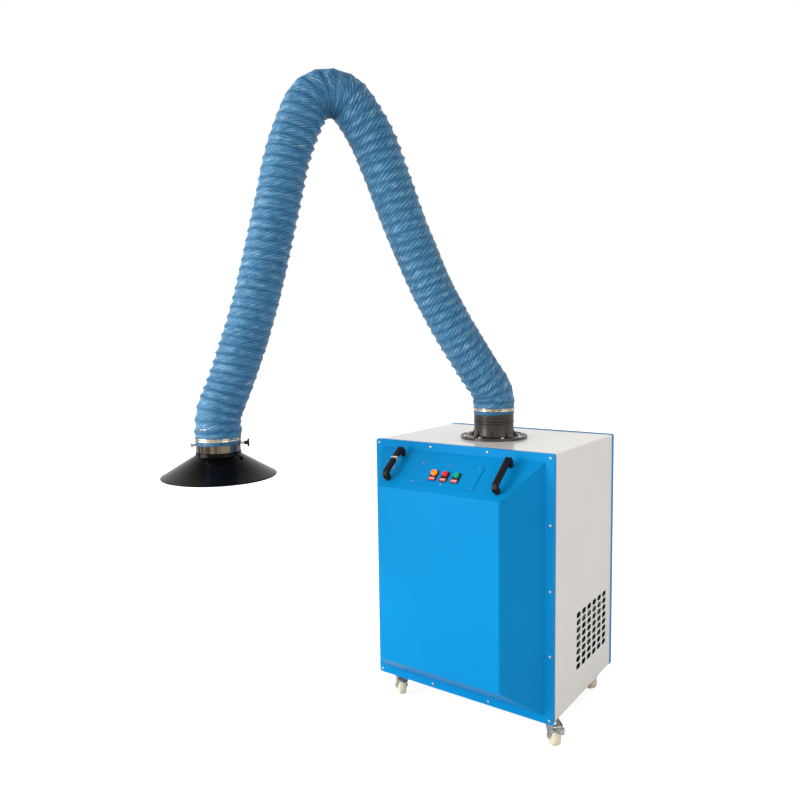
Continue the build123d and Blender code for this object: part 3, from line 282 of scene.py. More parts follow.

# %% [markdown]
# ## Plastics, gloss paint and paper
# Moulded plastic has a slight grain from its mould. The hood is spun steel under a deep black gloss paint,
# and the flange is a brown-black moulding, lighter and darker in faint streaks up its height. Each is a plain
# base with its own gloss and a relief of its own scale. The lamp's lens also glows, a little unevenly, as a
# lit lens does.


# %% Plastics, gloss black, nylon and paper
def moulded(name, colour, shade, roughness, grain_scale=900, grain=0.00015, level=0.4, stretch=(1, 1, 1)):
    """A moulded or painted skin: slight tone drift and a fine grain."""
    skin = Finish(name, Metallic=0, Specular_IOR_Level=level)
    drift = skin.noise(18, detail=4, stretch=stretch).between(0.3, 0.7)
    skin.set(Base_Color=skin.mix(drift, paint(*colour), paint(*shade)))
    skin.set(Roughness=roughness + (skin.noise(70, detail=3) - 0.5) * 0.12)
    skin.bump(skin.noise(grain_scale), grain, 0.4)


moulded("black_hood", (5, 5, 6), (9, 6, 6), 0.13, 300, 0.00005, 0.09)
moulded("black_plastic", (24, 22, 24), (34, 31, 31), 0.5)
moulded("brown_black_plastic", (42, 36, 33), (66, 57, 50), 0.3, 500, 0.0002, 0.5, (1, 1, 0.06))
moulded("wheel_nylon", (252, 243, 216), (246, 232, 196), 0.34, 400, 0.0002)
moulded("red_button", (240, 34, 56), (246, 50, 70), 0.28)
moulded("green_button", (0, 176, 124), (10, 186, 134), 0.28)
moulded("legend_face", (34, 24, 26), (44, 30, 30), 0.4)
moulded("legend_red", (226, 70, 78), (232, 84, 88), 0.4)
moulded("legend_pale", (240, 168, 162), (246, 184, 176), 0.4)
moulded("handle_black", (24, 17, 15), (33, 25, 22), 0.5, 500, 0.0003, 0.25)
moulded("pale_zinc", (240, 238, 236), (226, 224, 222), 0.25)
moulded("white_nylon", (232, 230, 234), (222, 220, 226), 0.4)
moulded("filter_paper", (222, 214, 196), (208, 198, 178), 0.8, 260, 0.0006)
moulded("motor_iron", (60, 66, 74), (48, 54, 62), 0.45, 260, 0.0006)

lamp = Finish("lamp_lens", Metallic=0, Roughness=0.25, Base_Color=paint(255, 80, 10), Emission_Strength=0.85)
lamp_glow = lamp.noise(60).between(0.35, 0.65)
lamp.set(Emission_Color=lamp.mix(lamp_glow, paint(255, 40, 10), paint(255, 160, 0)))
print("finishes so far:", ", ".join(finishes))

# %% [markdown]
# ## Coated fabric for the hose
# The hose is a blue fabric with a smooth plastic coat, held open by a wire coil. Its colour has light and
# shade painted into it. The tops of the pleats are painted paler, with pale specks, as painted highlights.
# The valleys between the pleats are painted a deeper blue as painted shade, and a dark line of painted shade
# runs along each wire. A slow noise makes the painted highlights and the wire's shade patchy, and where that
# noise is high the fabric is also a little shinier, as rubbed fabric is. The mesh carries two numbers, how
# near a point is to a wire and how high it lies on a pleat, and the material reads both. It also carries each
# point's place on the hose before the hose was twisted and bent. A noise on that place that is drawn out
# along the hose makes the finest folds, and they follow the pleats into every bend.

# %% Hose fabric
fold_scale = 150
fold_relief = 0.007
weave_scale = 700
# deep is the blue of the painted shade in the pleats' valleys and along the wires; pale is the painted
# highlight.
deep = paint(0, 94, 140)
mid = paint(92, 162, 202)
pale = paint(222, 216, 218)
fabric = Finish("hose_fabric", Metallic=0, Specular_IOR_Level=0.5)
fabric.set(Sheen_Weight=0.12, Sheen_Roughness=0.35, Sheen_Tint=paint(250, 240, 228))
on_wire = fabric.attribute("wire")
on_pleat = fabric.attribute("pleat")
# The specks are painted highlights. The slow noise after them makes the painted light patchy and the gloss
# uneven.
highlight_speck = fabric.noise(230, detail=3, roughness=0.6).between(0.62, 0.74)
wear_and_painted_light = fabric.noise(28, detail=4).between(0.4, 0.7)
unbent_place = fabric.attribute("unbent", "Vector")
fold = fabric.node("ShaderNodeTexNoise", Vector=unbent_place, Scale=fold_scale, Detail=3, Roughness=0.65)
ridge = on_pleat * 0.45 + fold
# Painted shade: the valleys of the pleats and folds are a deeper blue. Painted highlight: their tops turn
# pale.
crease_shaded_colour = fabric.mix(ridge.between(0.42, 0.98), deep, mid)
highlit_colour = fabric.mix(ridge.between(0.8, 1.02) * (wear_and_painted_light * 0.6 + 0.2) + highlight_speck * 0.3, crease_shaded_colour, pale)
# Painted shade: a dark line along each wire, patchy with the slow noise.
wire_shade = on_wire.between(0.5, 1.0) * (wear_and_painted_light * 0.45 + 0.05)
fabric.set(Base_Color=fabric.mix(wire_shade, highlit_colour, deep))
fabric.set(Roughness=0.42 - wear_and_painted_light * 0.12)
fabric.bump(fold + fabric.noise(weave_scale, detail=3) * 0.06, fold_relief, 0.55)

# %% [markdown]
# ## Dress the construction parts
# Each part of the frame came with a plain material that is named after what it is made of. The finish of
# the same name takes its place, and the mesh stays untouched.

# %% Swap the plain materials for the finishes
for node_object in frame["nodes"].values():
    for material_slot in node_object.material_slots:
        plain_name = material_slot.material.name.split(".")[0]
        material_slot.material = finishes[plain_name]
print("dressed", len(frame["nodes"]), "parts")

# %% [markdown]
# ## Small tools for shaping
# Most parts are turned, pressed or cut from bar. So there are three starts: a turned shape, spun from half
# an outline; a block with rounded edges; and a plate pushed out of a flat outline. `join` puts several such
# shapes into one piece, and `piece` finishes it: it goes to its place, gets its finish and is tied to the
# body that carries it.


# %% Shaping tools
record_slots = [item["slot"] for item in frame["record"]["materials"]]
sharp_angle = radians(30)


def turned(outline, steps=64):
    """A shape spun round z from a closed outline of (radius, height) corners."""
    shape = bmesh.new()
    corners = [shape.verts.new((radius, 0, height)) for radius, height in outline]
    for first, second in zip(corners, corners[1:] + corners[:1]):
        shape.edges.new((first, second))
    bmesh.ops.spin(
        shape, geom=shape.verts[:] + shape.edges[:], cent=(0, 0, 0), axis=(0, 0, 1),
        angle=2 * pi, steps=steps, use_merge=True,
    )
    bmesh.ops.remove_doubles(shape, verts=shape.verts, dist=0.001)
    bmesh.ops.recalc_face_normals(shape, faces=shape.faces)
    return shape


def round_edges(shape, radius, segments=2):
    """Rounds every edge of a shape that is sharp."""
    edges = [e for e in shape.edges if len(e.link_faces) == 2 and e.calc_face_angle(0) > sharp_angle]
    bmesh.ops.bevel(
        shape, geom=edges, offset=radius, offset_type="OFFSET", segments=segments, profile=0.5,
        affect="EDGES", material=-1, clamp_overlap=True,
    )
    return shape


def block(width, depth, height, radius=0, segments=2):
    """A block about its own middle, with rounded edges."""
    shape = bmesh.new()
    bmesh.ops.create_cube(shape, size=1)
    bmesh.ops.scale(shape, vec=(width, depth, height), verts=shape.verts)
    if radius:
        round_edges(shape, radius, segments)
    return shape


def plate(outline, thickness, radius=0, segments=2):
    """A flat outline in x and y, pushed up along z."""
    shape = bmesh.new()
    face = shape.faces.new([shape.verts.new((x, y, 0)) for x, y in outline])
    pushed = bmesh.ops.extrude_face_region(shape, geom=[face])["geom"]
    raised = [item for item in pushed if isinstance(item, bmesh.types.BMVert)]
    bmesh.ops.translate(shape, vec=(0, 0, thickness), verts=raised)
    bmesh.ops.recalc_face_normals(shape, faces=shape.faces)
    if radius:
        round_edges(shape, radius, segments)
    return shape


def join(whole, part, place=Matrix(), finish_number=0):
    """Adds a part to a whole at its place, with the number of its finish."""
    bmesh.ops.transform(part, matrix=place, verts=part.verts)
    for face in part.faces:
        face.material_index = finish_number
    carrier = bpy.data.meshes.new("carrier")
    part.to_mesh(carrier)
    part.free()
    whole.from_mesh(carrier)
    bpy.data.meshes.remove(carrier)
    return whole


def grow_rim(shape, rim):
    """Extrudes an open rim; returns its new corners and the new rim."""
    grown = bmesh.ops.extrude_edge_only(shape, edges=rim)["geom"]
    corners = [item for item in grown if isinstance(item, bmesh.types.BMVert)]
    edges = [item for item in grown if isinstance(item, bmesh.types.BMEdge)]
    kept = set(corners)
    return corners, [edge for edge in edges if kept.issuperset(edge.verts)]


def link_piece(name, shape, coats, crease=35):
    """Makes an object of a shape that is already in place, smooth up to a crease angle."""
    mesh = bpy.data.meshes.new(name)
    shape.to_mesh(mesh)
    shape.free()
    for coat in coats:
        mesh.materials.append(finishes[coat])
    mesh.shade_smooth()
    mesh.set_sharp_from_angle(angle=radians(crease))
    thing = bpy.data.objects.new(name, mesh)
    scene.collection.objects.link(thing)
    return thing


def piece(name, shape, coats, body, nodes=(), place=Matrix(), crease=35):
    """Finishes a shape as a piece of the object; it moves with a body, if it is given one."""
    bmesh.ops.transform(shape, matrix=cabinet @ place, verts=shape.verts)
    thing = link_piece(name, shape, coats, crease)
    if body:
        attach(thing, body)
    coats[0] in record_slots
    if nodes:
        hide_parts(*nodes)
    print(name, "has", len(thing.data.polygons), "faces")
    return thing


# %% [markdown]
# ## The hose's line
# The arm stands in one upright plane, so its hose follows a flat line: straights and arcs that meet without
# a kink. A place on it is found by walking along those stretches. `arm` carries the plane into the cabinet's
# axes, with the reach along x and the height along z.

# %% Walk along the hose
arm_azimuth = 231
base_straight, hood_straight = 46, 56
elbow_stretch = 4
hose_stretches = [
    (base_straight, 0), (75, 34.4), (973, -15.3), (215, 17.3), (222, 117.1), (279, 15), (857, -10.5),
    (85, 22), (hood_straight, 0),
]
hose_length = sum(length for length, bend in hose_stretches)
hose_start = (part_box("hose_base_bend")[0].z - home.z) / mm
arm = move(0, inlet_back, 0) @ turn(arm_azimuth, "Z")


def hose_point(distance):
    """Reach, height and heading, in degrees from straight up, at a distance along the hose or past it."""
    reach, height, heading = 0, hose_start, 0
    for length, bend in hose_stretches:
        part = min(distance, length)
        a = radians(heading)
        heading += bend * part / length
        b = radians(heading)
        if bend == 0:
            reach += part * sin(a)
            height += part * cos(a)
        else:
            radius = length / radians(bend)
            reach += radius * (cos(a) - cos(b))
            height += radius * (sin(b) - sin(a))
        distance -= part
    a = radians(heading)
    return reach + distance * sin(a), height + distance * cos(a), heading


def hose_place(distance):
    """A matrix in the arm's plane: z runs along the hose, x points to the inside of the elbow."""
    reach, height, heading = hose_point(distance)
    return move(reach, 0, height) @ turn(heading, "Y")


def in_frame(matrix):
    """A place in the arm's plane as a point of the frame, in metres."""
    return (cabinet @ arm @ matrix).translation


print("the hose is", hose_length, "mm long and ends at", [round(v) for v in hose_point(hose_length)])

# %% [markdown]
# ## The pleated hose
# A hose of this kind is a fabric tube sewn over a wire coil. Between two turns of wire the fabric is slack:
# it hangs in, sinks towards the lower wire and gathers into slanting pleats. A plain ribbed tube misses the
# pleats, and a picture of them would look flat at the edge, so they are real here. The mesh grows ring by
# ring with an extrude. Each ring is turned a little against the last, so the mesh's own edges run along the
# pleats and few of them are needed. A soft noise crumples the fabric between them. A hose that has been in
# use never hangs evenly either: its wires slip along, stand out or sag aside. The stations say by how much at
# a few distances, in millimetres, and the hose eases from one to the next.

# %% Shape of the hose's skin
ring_sides = 132
pleat_count = 24
cuff_length = 26
rib_pitch = 36.7
rib_count = round((hose_length - 2 * cuff_length) / rib_pitch)
rib_step = (hose_length - 2 * cuff_length) / rib_count
cuff_radius = 82.4
valley_radius = 79.6
wire_height = 0.8
wire_width_share = 0.04
pleat_height = 1.7
crumple_height = 2.8
crumple_around = 3.2
crumple_length = 11
finer_crumple = 2.3
crest_flattening = 0.4
deepest_sink = 1.2
pleat_lean = 43
upper_lean = 17
sag_share = 0.09
duct_cover = 62
cover_fade = 14
cuff_ease = 0.6
cuff_grip = 0.3
fabric_thickness = 0.7
fold_stretch = 0.3
elbow_half = hose_stretches[elbow_stretch][0] / 2
elbow_middle = sum(length for length, bend in hose_stretches[:elbow_stretch]) + elbow_half
slip_limit = 33
hose_stations = [
    # distance, slip inside and outside the elbow, crest inside and outside, sideways, wider
    (0, 0, 0, 4, 4, 0, 0),
    (230, -2, 3, 6.5, 3.2, 4.5, 0),
    (450, 7, -10, 6.2, 4.5, 8, -0.5),
    (560, 4, -19, 5, 3, 9, -0.5),
    (780, 5, -26, 4, 3.6, 3.5, 0.5),
    (1000, 10, -10, 3.6, 7, 0, 1.8),
    (1110, 11, -3, 5, 9, 3, 2.8),
    (1330, 15, -1, 4.5, 6, 7, 2.8),
    (1550, 0, 15, 7, 4, 1, 0.5),
    (1770, 8, 20, 6.8, 4.8, -1, 0.3),
    (1990, 12, 32, 6, 5.4, -2.8, 0.3),
    (2320, 6, 29, 4.2, 6, 4, 0.5),
    (2540, -9, 21, 4.2, 8.5, 5, 0),
    (2720, -3, 4, 4, 7, 2, 0),
    (3000, 0, 0, 4, 4, 0, 0),
]
ring_shares = (0, 0.1, 0.2, 0.3, 0.4, 0.46, 0.5, 0.54, 0.6, 0.7, 0.8, 0.9)
dice = random.Random(7)
band_phases = [dice.uniform(0, 2 * pi) for band in range(rib_count + 3)]
band_slack = [dice.uniform(0.6, 1.25) for band in range(rib_count + 3)]


def ease(share):
    """0 to 1 with a smooth start and end."""
    share = min(max(share, 0), 1)
    return share * share * (3 - 2 * share)


def hose_habit(distance):
    """The six values of `hose_stations` at a distance, eased from one station to the next."""
    for before, after in zip(hose_stations, hose_stations[1:]):
        if distance <= after[0]:
            share = ease((distance - before[0]) / (after[0] - before[0]))
            return [low * (1 - share) + high * share for low, high in zip(before[1:], after[1:])]


def hose_skin(distance, number):
    """A point's angle, radius, nearness to a wire, height on a pleat, slip and sideways move."""
    ribs = (distance - cuff_length) / rib_step
    past_elbow = max(0, distance - elbow_middle) / rib_step
    twist = radians(pleat_lean * ribs + upper_lean * past_elbow)
    angle = 2 * pi * number / ring_sides + twist
    slip_inside, slip_outside, crest_inside, crest_outside, sideways, wider = hose_habit(distance)
    inside = 0.5 + 0.5 * cos(angle)
    past_wire = (ribs + 0.5) % 1
    band = floor(ribs + 0.5) % len(band_phases)
    lean = sag_share * cos(radians(hose_point(distance)[2])) * cos(angle)
    hang = past_wire + 4 * lean * past_wire * (1 - past_wire)
    slack = sin(pi * hang)
    wire = exp(-((min(past_wire, 1 - past_wire) / wire_width_share) ** 2))
    ripple = cos(pleat_count * 2 * pi * number / ring_sides + band_phases[band])
    spot = Vector((cos(angle) * crumple_around, sin(angle) * crumple_around, 0))
    spot.z = distance / crumple_length
    crumple = noise.noise(spot) + 0.5 * noise.noise(finer_crumple * spot)
    crest = crest_inside * inside + crest_outside * (1 - inside)
    crest *= 1 - crest_flattening * sin(angle) ** 2
    height = (1 - slack) * crest + wire * wire_height + wider
    height += slack * (ripple * pleat_height + crumple * crumple_height) * band_slack[band]
    to_end = min(distance, hose_length - distance)
    covers_duct = 1 - ease((to_end - duct_cover + cover_fade) / cover_fade)
    inner = valley_radius + (cuff_radius - cuff_ease - valley_radius) * covers_duct
    free = ease(to_end / cuff_length - cuff_grip)
    radius = inner + max(height, -deepest_sink * (1 - covers_duct))
    radius = cuff_radius * (1 - free) + radius * free
    slip = (slip_inside * inside + slip_outside * (1 - inside)) * free
    on_pleat = (0.5 + 0.3 * ripple + 0.5 * crumple) * slack * free
    return angle, radius, wire * free, on_pleat, slip, sideways * free


def grow_hose(name, node, distances, bodies, cuff_cut=None):
    """A stretch of hose, extruded ring by ring; it rides on one body, or on none when it lies between two."""
    shape = bmesh.new()
    numbers = shape.verts.layers.int.new("number")
    wires = shape.verts.layers.float.new("wire")
    pleats = shape.verts.layers.float.new("pleat")
    unbent = shape.verts.layers.float_vector.new("unbent")
    circle = bmesh.ops.create_circle(shape, segments=ring_sides, radius=1)["verts"]
    for number, corner in enumerate(circle):
        corner[numbers] = number

    def settle(corners, distance):
        for corner in corners:
            skin = hose_skin(distance, corner[numbers])
            angle, radius, corner[wires], corner[pleats], slip, sideways = skin
            along = distance + slip + (cuff_cut(distance, angle) if cuff_cut else 0)
            flat = Vector((radius * cos(angle) + sideways, radius * sin(angle), 0))
            untwisted = 2 * pi * corner[numbers] / ring_sides
            ring_place = Vector((cos(untwisted), sin(untwisted), 0)) * valley_radius
            corner[unbent] = (ring_place + Vector((0, 0, distance * fold_stretch))) * mm
            corner.co = hose_place(along) @ flat

    settle(circle, distances[0])
    rim = shape.edges[:]
    for distance in distances[1:]:
        corners, rim = grow_rim(shape, rim)
        settle(corners, distance)
    bmesh.ops.recalc_face_normals(shape, faces=shape.faces)
    middle = hose_place(distances[len(distances) // 2]).translation
    face = min(shape.faces, key=lambda f: (f.calc_center_median() - middle).length)
    if face.normal.dot(face.calc_center_median() - middle) < 0:
        bmesh.ops.reverse_faces(shape, faces=shape.faces)
    body = bodies[0] if len(bodies) == 1 else None
    thing = piece(name, shape, ["hose_fabric"], body, [node], arm, 80)
    wall = thing.modifiers.new("wall", "SOLIDIFY")
    wall.thickness = fabric_thickness * mm
    wall.offset = -1
    if len(bodies) == 2:
        blend_bend(thing, distances[0], distances[-1])


# %% [markdown]
# The hose is cut into five lengths, near the places where the construction parts under it meet. Two lengths
# ride on the arm's links. The three bends cross a pivot each and ride on no body. For each, the span where it
# would turn from one body to the other is worked out, a little inside the bend so that each end ring would
# move with its neighbour as a whole, and its length is printed.

# %% Cut and place the five lengths
base_piece_length = 250
hood_piece_length = 260
elbow_margin = 140
overhang, fray = 3.5, 0.7
base_slant, base_slant_at = 5, 0.7
hood_slant, hood_slant_at = 3.5, 0.3
crest_room = 9
seam_base = round((base_piece_length - cuff_length) / rib_step)
seam_low = round((elbow_middle - elbow_half - elbow_margin - cuff_length) / rib_step)
seam_high = round((elbow_middle + elbow_half + elbow_margin - cuff_length) / rib_step)
seam_hood = round((hose_length - hood_piece_length - cuff_length) / rib_step)


def seam(index):
    """Distance along the hose of a seam in the valley between two wires."""
    return cuff_length + index * rib_step


def ring_distances(first, last):
    """The rings between two valleys, closest together at the wires."""
    stops = [seam(index + share) for index in range(first, last) for share in ring_shares]
    return stops + [seam(last)]


def slanting_end(distance, angle):
    """The hose's own ends are cut off askew, and hang out past the bands."""
    low_end = 1 - ease(distance / cuff_length)
    high_end = 1 - ease((hose_length - distance) / cuff_length)
    wavy = sin(3 * angle) + sin(7 * angle) / 2
    base_cut = overhang + base_slant * cos(angle - base_slant_at) + fray * wavy
    hood_cut = overhang + hood_slant * sin(angle - hood_slant_at) + fray * wavy
    return high_end * hood_cut - low_end * base_cut


def blend_bend(thing, low, high):
    """Prints the span over which a bend would turn between two bodies, short of both end rings; nothing is
    blended.
    """
    start, end = in_frame(hose_place(low)), in_frame(hose_place(high))
    line = (end - start).normalized()
    reach = (cuff_radius + crest_room) * mm
    moves = []
    for ring in (low, high):
        heading = (in_frame(hose_place(ring + 1)) - in_frame(hose_place(ring))).normalized()
        moves.append(reach * sqrt(max(0, 1 - heading.dot(line) ** 2)))
    start += line * (moves[0] + slip_limit * mm)
    end -= line * (moves[1] + slip_limit * mm)
    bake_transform(thing)
    print(thing.name, "bends over", round((end - start).length / mm), "mm")


cuff_stops = [0, 3, 8, 13, 19]
base_stops = cuff_stops + ring_distances(0, seam_base)
hood_stops = ring_distances(seam_hood, rib_count)[:-1] + [hose_length - cuff_length]
hood_stops += [hose_length - stop for stop in reversed(cuff_stops)]
elbow_stops = ring_distances(seam_low, seam_high)
grow_hose("hose_bend_at_base", "hose_base_bend", base_stops, ["swivel", "lower_arm"], slanting_end)
grow_hose("hose_lower_length", "hose_lower_run", ring_distances(seam_base, seam_low), ["lower_arm"])
grow_hose("hose_bend_at_elbow", "hose_elbow_bend", elbow_stops, ["lower_arm", "upper_arm"])
grow_hose("hose_upper_length", "hose_upper_run", ring_distances(seam_high, seam_hood), ["upper_arm"])
grow_hose("hose_bend_at_hood", "hose_hood_bend", hood_stops, ["upper_arm", "hood"], slanting_end)

# %% [markdown]
# ## The hood and its collar
# The hood is spun from thin sheet on a lathe: a short neck over the collar, a straight flare and a rim that
# is rolled over a wire. Spinning an outline gives exactly that shape, and with enough steps its gloss stays
# smooth. The collar above it is a polished tube, which gets a smooth skin over its construction part.

# %% Hood and collar
hood_reach, hood_top, hood_heading = hose_point(hose_length)
hood_axis = arm @ move(hood_reach, 0, hood_top) @ turn(hood_heading - 180, "Y")
duct_radius = 80
fit_gap = 0.3
collar_low, collar_skin_top = -48, 12
neck_height = 14
hood_depth = 92
rim_radius = 209
rim_low = collar_low + neck_height - hood_depth
sheet = 2
bead = 3.2
neck = duct_radius + fit_gap
hood_outline = [
    (neck, collar_low + 2), (neck, collar_low + neck_height),
    (neck + sheet * 0.6, collar_low + neck_height + 0.6), (neck + sheet, collar_low + neck_height),
    (neck + sheet + 0.2, collar_low + 5), (neck + sheet + 2, collar_low + 1),
]
bead_start, bead_step = 100, 34
bead_turns = [radians(bead_start - bead_step * step) for step in range(11)]
hood_outline += [
    (rim_radius - bead / 2 + bead * cos(a), rim_low + bead / 2 + bead * sin(a)) for a in bead_turns
]
hood_outline += [(rim_radius - 2 * bead, rim_low + 3.6), (neck + 3, collar_low - 2.2)]
piece("hood_flare", turned(hood_outline, 192), ["black_hood"], "hood", ["hood_cone"], hood_axis, 30)


def tube_skin(low, high, ridges=()):
    """A thin smooth skin over a duct, with a small rounded ridge at some heights."""
    inner, outer, top = duct_radius + fit_gap / 2, duct_radius + 0.5, duct_radius + 1.8
    outline = [(inner, low), (outer, low)]
    for ridge in ridges:
        outline += [(outer, ridge - 2.2), (top, ridge - 0.8), (top, ridge + 0.8), (outer, ridge + 2.2)]
    return turned(outline + [(outer, high), (inner, high)], 128)


collar_skin = tube_skin(collar_low + neck_height + 1, collar_skin_top)
piece("collar_skin", collar_skin, ["collar_steel"], "hood", (), hood_axis)

# %% [markdown]
# ## The damper's knob
# A shaft goes across the collar and turns the throttle disc. Its knob is turned from plastic: a waist to
# hold and a wide rim. The nut on the far end is plain, so its construction part stays as it is.

# %% Knob
damper_height = -8.5
across_shaft = hood_axis @ move(z=damper_height) @ turn(-90, "Y")
knob_outline = [
    (4.1, 94), (7, 94), (7.4, 97), (7, 101), (8, 105.4), (14, 106), (15.5, 107.4), (15.5, 110.4),
    (14.3, 111.8), (0, 112), (0, 100.3), (4.1, 100.3),
]
piece("throttle_knob", turned(knob_outline, 48), ["black_plastic"], "damper", ["damper_knob"], across_shaft)

# %% [markdown]
# ## Worm-drive bands
# A band of thin stainless strip is wound round each cuff of the hose. Its edges are rolled so that they
# don't cut the fabric, slanting slots are pressed into a third of it, and a screw in a small housing pulls
# on them. The band is spun, the slots are small raised bars, and the housing is a bevelled block.

# %% Worm-drive bands
band_offset = 13
band_width = 12
band_inner = 82.9
slot_bars = 34
first_slot, slot_pitch, slot_slant = -80, 3.4, 8
housing_out, tail_out, tail_turn = 5.6, 2.8, 16


def worm_band():
    """A band about its own middle, with its screw housing towards -y."""
    edge = band_width / 2
    section = [(0, -edge), (1.5, -edge), (1.7, 1 - edge), (1.1, 1.9 - edge)]
    section += [(out, -up) for out, up in reversed(section)]
    shape = turned([(band_inner + out, up) for out, up in section], 144)
    for bar in range(slot_bars):
        bar_turn = turn(first_slot + slot_pitch * bar, "Z")
        bar_place = bar_turn @ move(band_inner + 1) @ turn(slot_slant, "X")
        join(shape, block(0.9, 1.6, 6.6, 0.3, 1), bar_place)
    housing_place = move(0, -band_inner - housing_out)
    join(shape, block(26, 10.6, 13, 2.2, 3), housing_place)
    join(shape, block(10, 12.4, 11, 1, 2), housing_place @ move(8))
    screw = turned([(0, 0), (3.4, 0), (3.4, 9), (4.6, 10), (4.6, 15), (3.9, 16), (0, 16)], 6)
    round_edges(screw, 0.3, 1)
    join(shape, screw, housing_place @ move(-12) @ turn(-90, "Y"))
    tail = block(20, 1.2, band_width - 1, 0.4, 1)
    return join(shape, tail, turn(tail_turn, "Z") @ move(0, -band_inner - tail_out))


low_band = arm @ move(z=hose_start + band_offset)
high_band = hood_axis @ move(z=band_offset)
piece("band_at_base", worm_band(), ["stainless"], "swivel", ["base_clamp"], low_band)
piece("band_at_hood", worm_band(), ["stainless"], "hood", ["hood_clamp"], high_band)

# %% [markdown]
# ## The inlet flange and its sleeve
# A moulded flange stands on the roof. Its rim is raised and rounded, eight gussets stiffen its neck, and a
# turning sleeve sits on the neck's end. Both get their rounded ridges here, which catch the light as thin
# lines.

# %% Flange and sleeve
cabinet_height = (cover_high.z - cover_low.z) / mm
roof_drop = 2.3
roof = cabinet_height - roof_drop
neck_top = 68
gusset_thickness = 4
sleeve_ridges = (3.4, 15)
flange_outline = [
    (76, 0), (134, 0), (135.4, 1.4), (135.4, 8.4), (134, 10.4), (131, 11), (128.6, 10), (127.4, 8),
    (88, 8), (84, 9.4), (81.6, 13), (80.2, 18), (80, neck_top - 8), (81.6, neck_top - 6),
    (82, neck_top - 3), (81.6, neck_top - 0.6), (80.6, neck_top), (76, neck_top),
]
flange = turned(flange_outline, 160)
gusset_outline = [(79, 6), (101, 6), (101, 8.4), (96, 12), (86, 22), (82, 32), (79, 34)]
gusset_count = 8
for step in range(gusset_count):
    gusset_turn = turn((step + 0.5) * 360 / gusset_count, "Z")
    gusset_place = gusset_turn @ turn(90, "X") @ move(z=-gusset_thickness / 2)
    join(flange, plate(gusset_outline, gusset_thickness, 1), gusset_place)
flange_place = move(0, inlet_back, roof)
piece("inlet_flange", flange, ["brown_black_plastic"], "cabinet", ["base_flange"], flange_place)
sleeve_low = roof + neck_top + fit_gap
sleeve_high = hose_start + base_straight - fit_gap
sleeve_skin = tube_skin(sleeve_low, sleeve_high - 1, [sleeve_low + ridge for ridge in sleeve_ridges])
piece("sleeve_skin", sleeve_skin, ["brown_black_plastic"], "swivel", (), arm)

# %% [markdown]
# ## Screws with real heads
# Every screw that shows has a domed head with a cross recess. One head is grown outwards from its recess:
# the walls of the cross rise from its floor, a bridge joins the cross to a round rim, and the rim is
# stretched down to the sheet. Copies of it then go to each group's places.


# %% One screw head and its copies
shank_depth = 4
screw_turn = 37


def stretch(shape, edges, scale, rise):
    """Extrudes a rim and scales it about z; returns the new rim."""
    corners, rim = grow_rim(shape, edges)
    bmesh.ops.scale(shape, vec=(scale, scale, 1), verts=corners)
    bmesh.ops.translate(shape, vec=(0, 0, rise), verts=corners)
    return rim


def screw_head(radius, height):
    """A domed head with a cross recess, standing on z = 0."""
    shape = bmesh.new()
    arm_half, arm_reach = 0.13 * radius, 0.52 * radius
    quarter = [(arm_reach, -arm_half), (arm_reach, arm_half), (arm_half, arm_half)]
    corners = []
    for step in range(4):
        for x, y in quarter:
            spot = turn(90 * step, "Z") @ Vector((x, y, 0.3 * height))
            corners.append(shape.verts.new(spot))
    shape.faces.new(corners)
    rim = stretch(shape, shape.edges[:], 1.15, 0.68 * height)
    circle = bmesh.ops.create_circle(shape, segments=24, radius=0.66 * radius)["verts"]
    bmesh.ops.translate(shape, vec=(0, 0, 0.95 * height), verts=circle)
    edge = list({e for corner in circle for e in corner.link_edges})
    bmesh.ops.bridge_loops(shape, edges=rim + edge)
    edge = stretch(shape, edge, 1.34, -0.25 * height)
    edge = stretch(shape, edge, 1.13, -0.35 * height)
    stretch(shape, edge, 1, -0.35 * height)
    bmesh.ops.recalc_face_normals(shape, faces=shape.faces)
    return shape


def screws(name, radius, height, places, nodes, coat="bright_screws"):
    """A group of equal screws with their shanks."""
    whole = bmesh.new()
    shank, shank_top = 0.42 * radius, 0.2
    shank_outline = [(0, -shank_depth), (shank, -shank_depth), (shank, shank_top), (0, shank_top)]
    for index, place in enumerate(places):
        slant = place @ turn(screw_turn * index, "Z")
        join(whole, screw_head(radius, height), slant)
        join(whole, turned(shank_outline, 12), slant)
    return piece(name, whole, [coat], "cabinet", nodes)


cabinet_width = (cover_high.x - cover_low.x) / mm
cabinet_depth = 600
screw_inset = 15
screws_across, screws_down = 4, 5
pan_places = []
for row in range(screws_down):
    for column in range(screws_across):
        if row in (0, screws_down - 1) or column in (0, screws_across - 1):
            x = (cabinet_width - 2 * screw_inset) * (column / (screws_across - 1) - 0.5)
            z = screw_inset + (cabinet_height - 2 * screw_inset) * row / (screws_down - 1)
            pan_places.append(move(x, 0, z) @ turn(90, "X"))
            pan_places.append(move(x, cabinet_depth, z) @ turn(-90, "X"))
screws("cover_screws", 5.6, 2.7, pan_places, ["panel_screws"])
flange_circle, flange_rise = 119, 8
bolt_place = move(flange_circle, 0, flange_rise)
flange_places = [
    flange_place @ turn(step * 360 / gusset_count, "Z") @ bolt_place for step in range(gusset_count)
]
screws("flange_bolts", 7, 5.6, flange_places, ["flange_screws"], "pale_zinc")

# %% [markdown]
# ## Controls on the bevel
# A lamp and two buttons sit in round bezels over a small cover plate. Under each is a bare plate with a dark
# frame, red with a pale field. All of them are drawn across and up the slope, with z straight out of it.

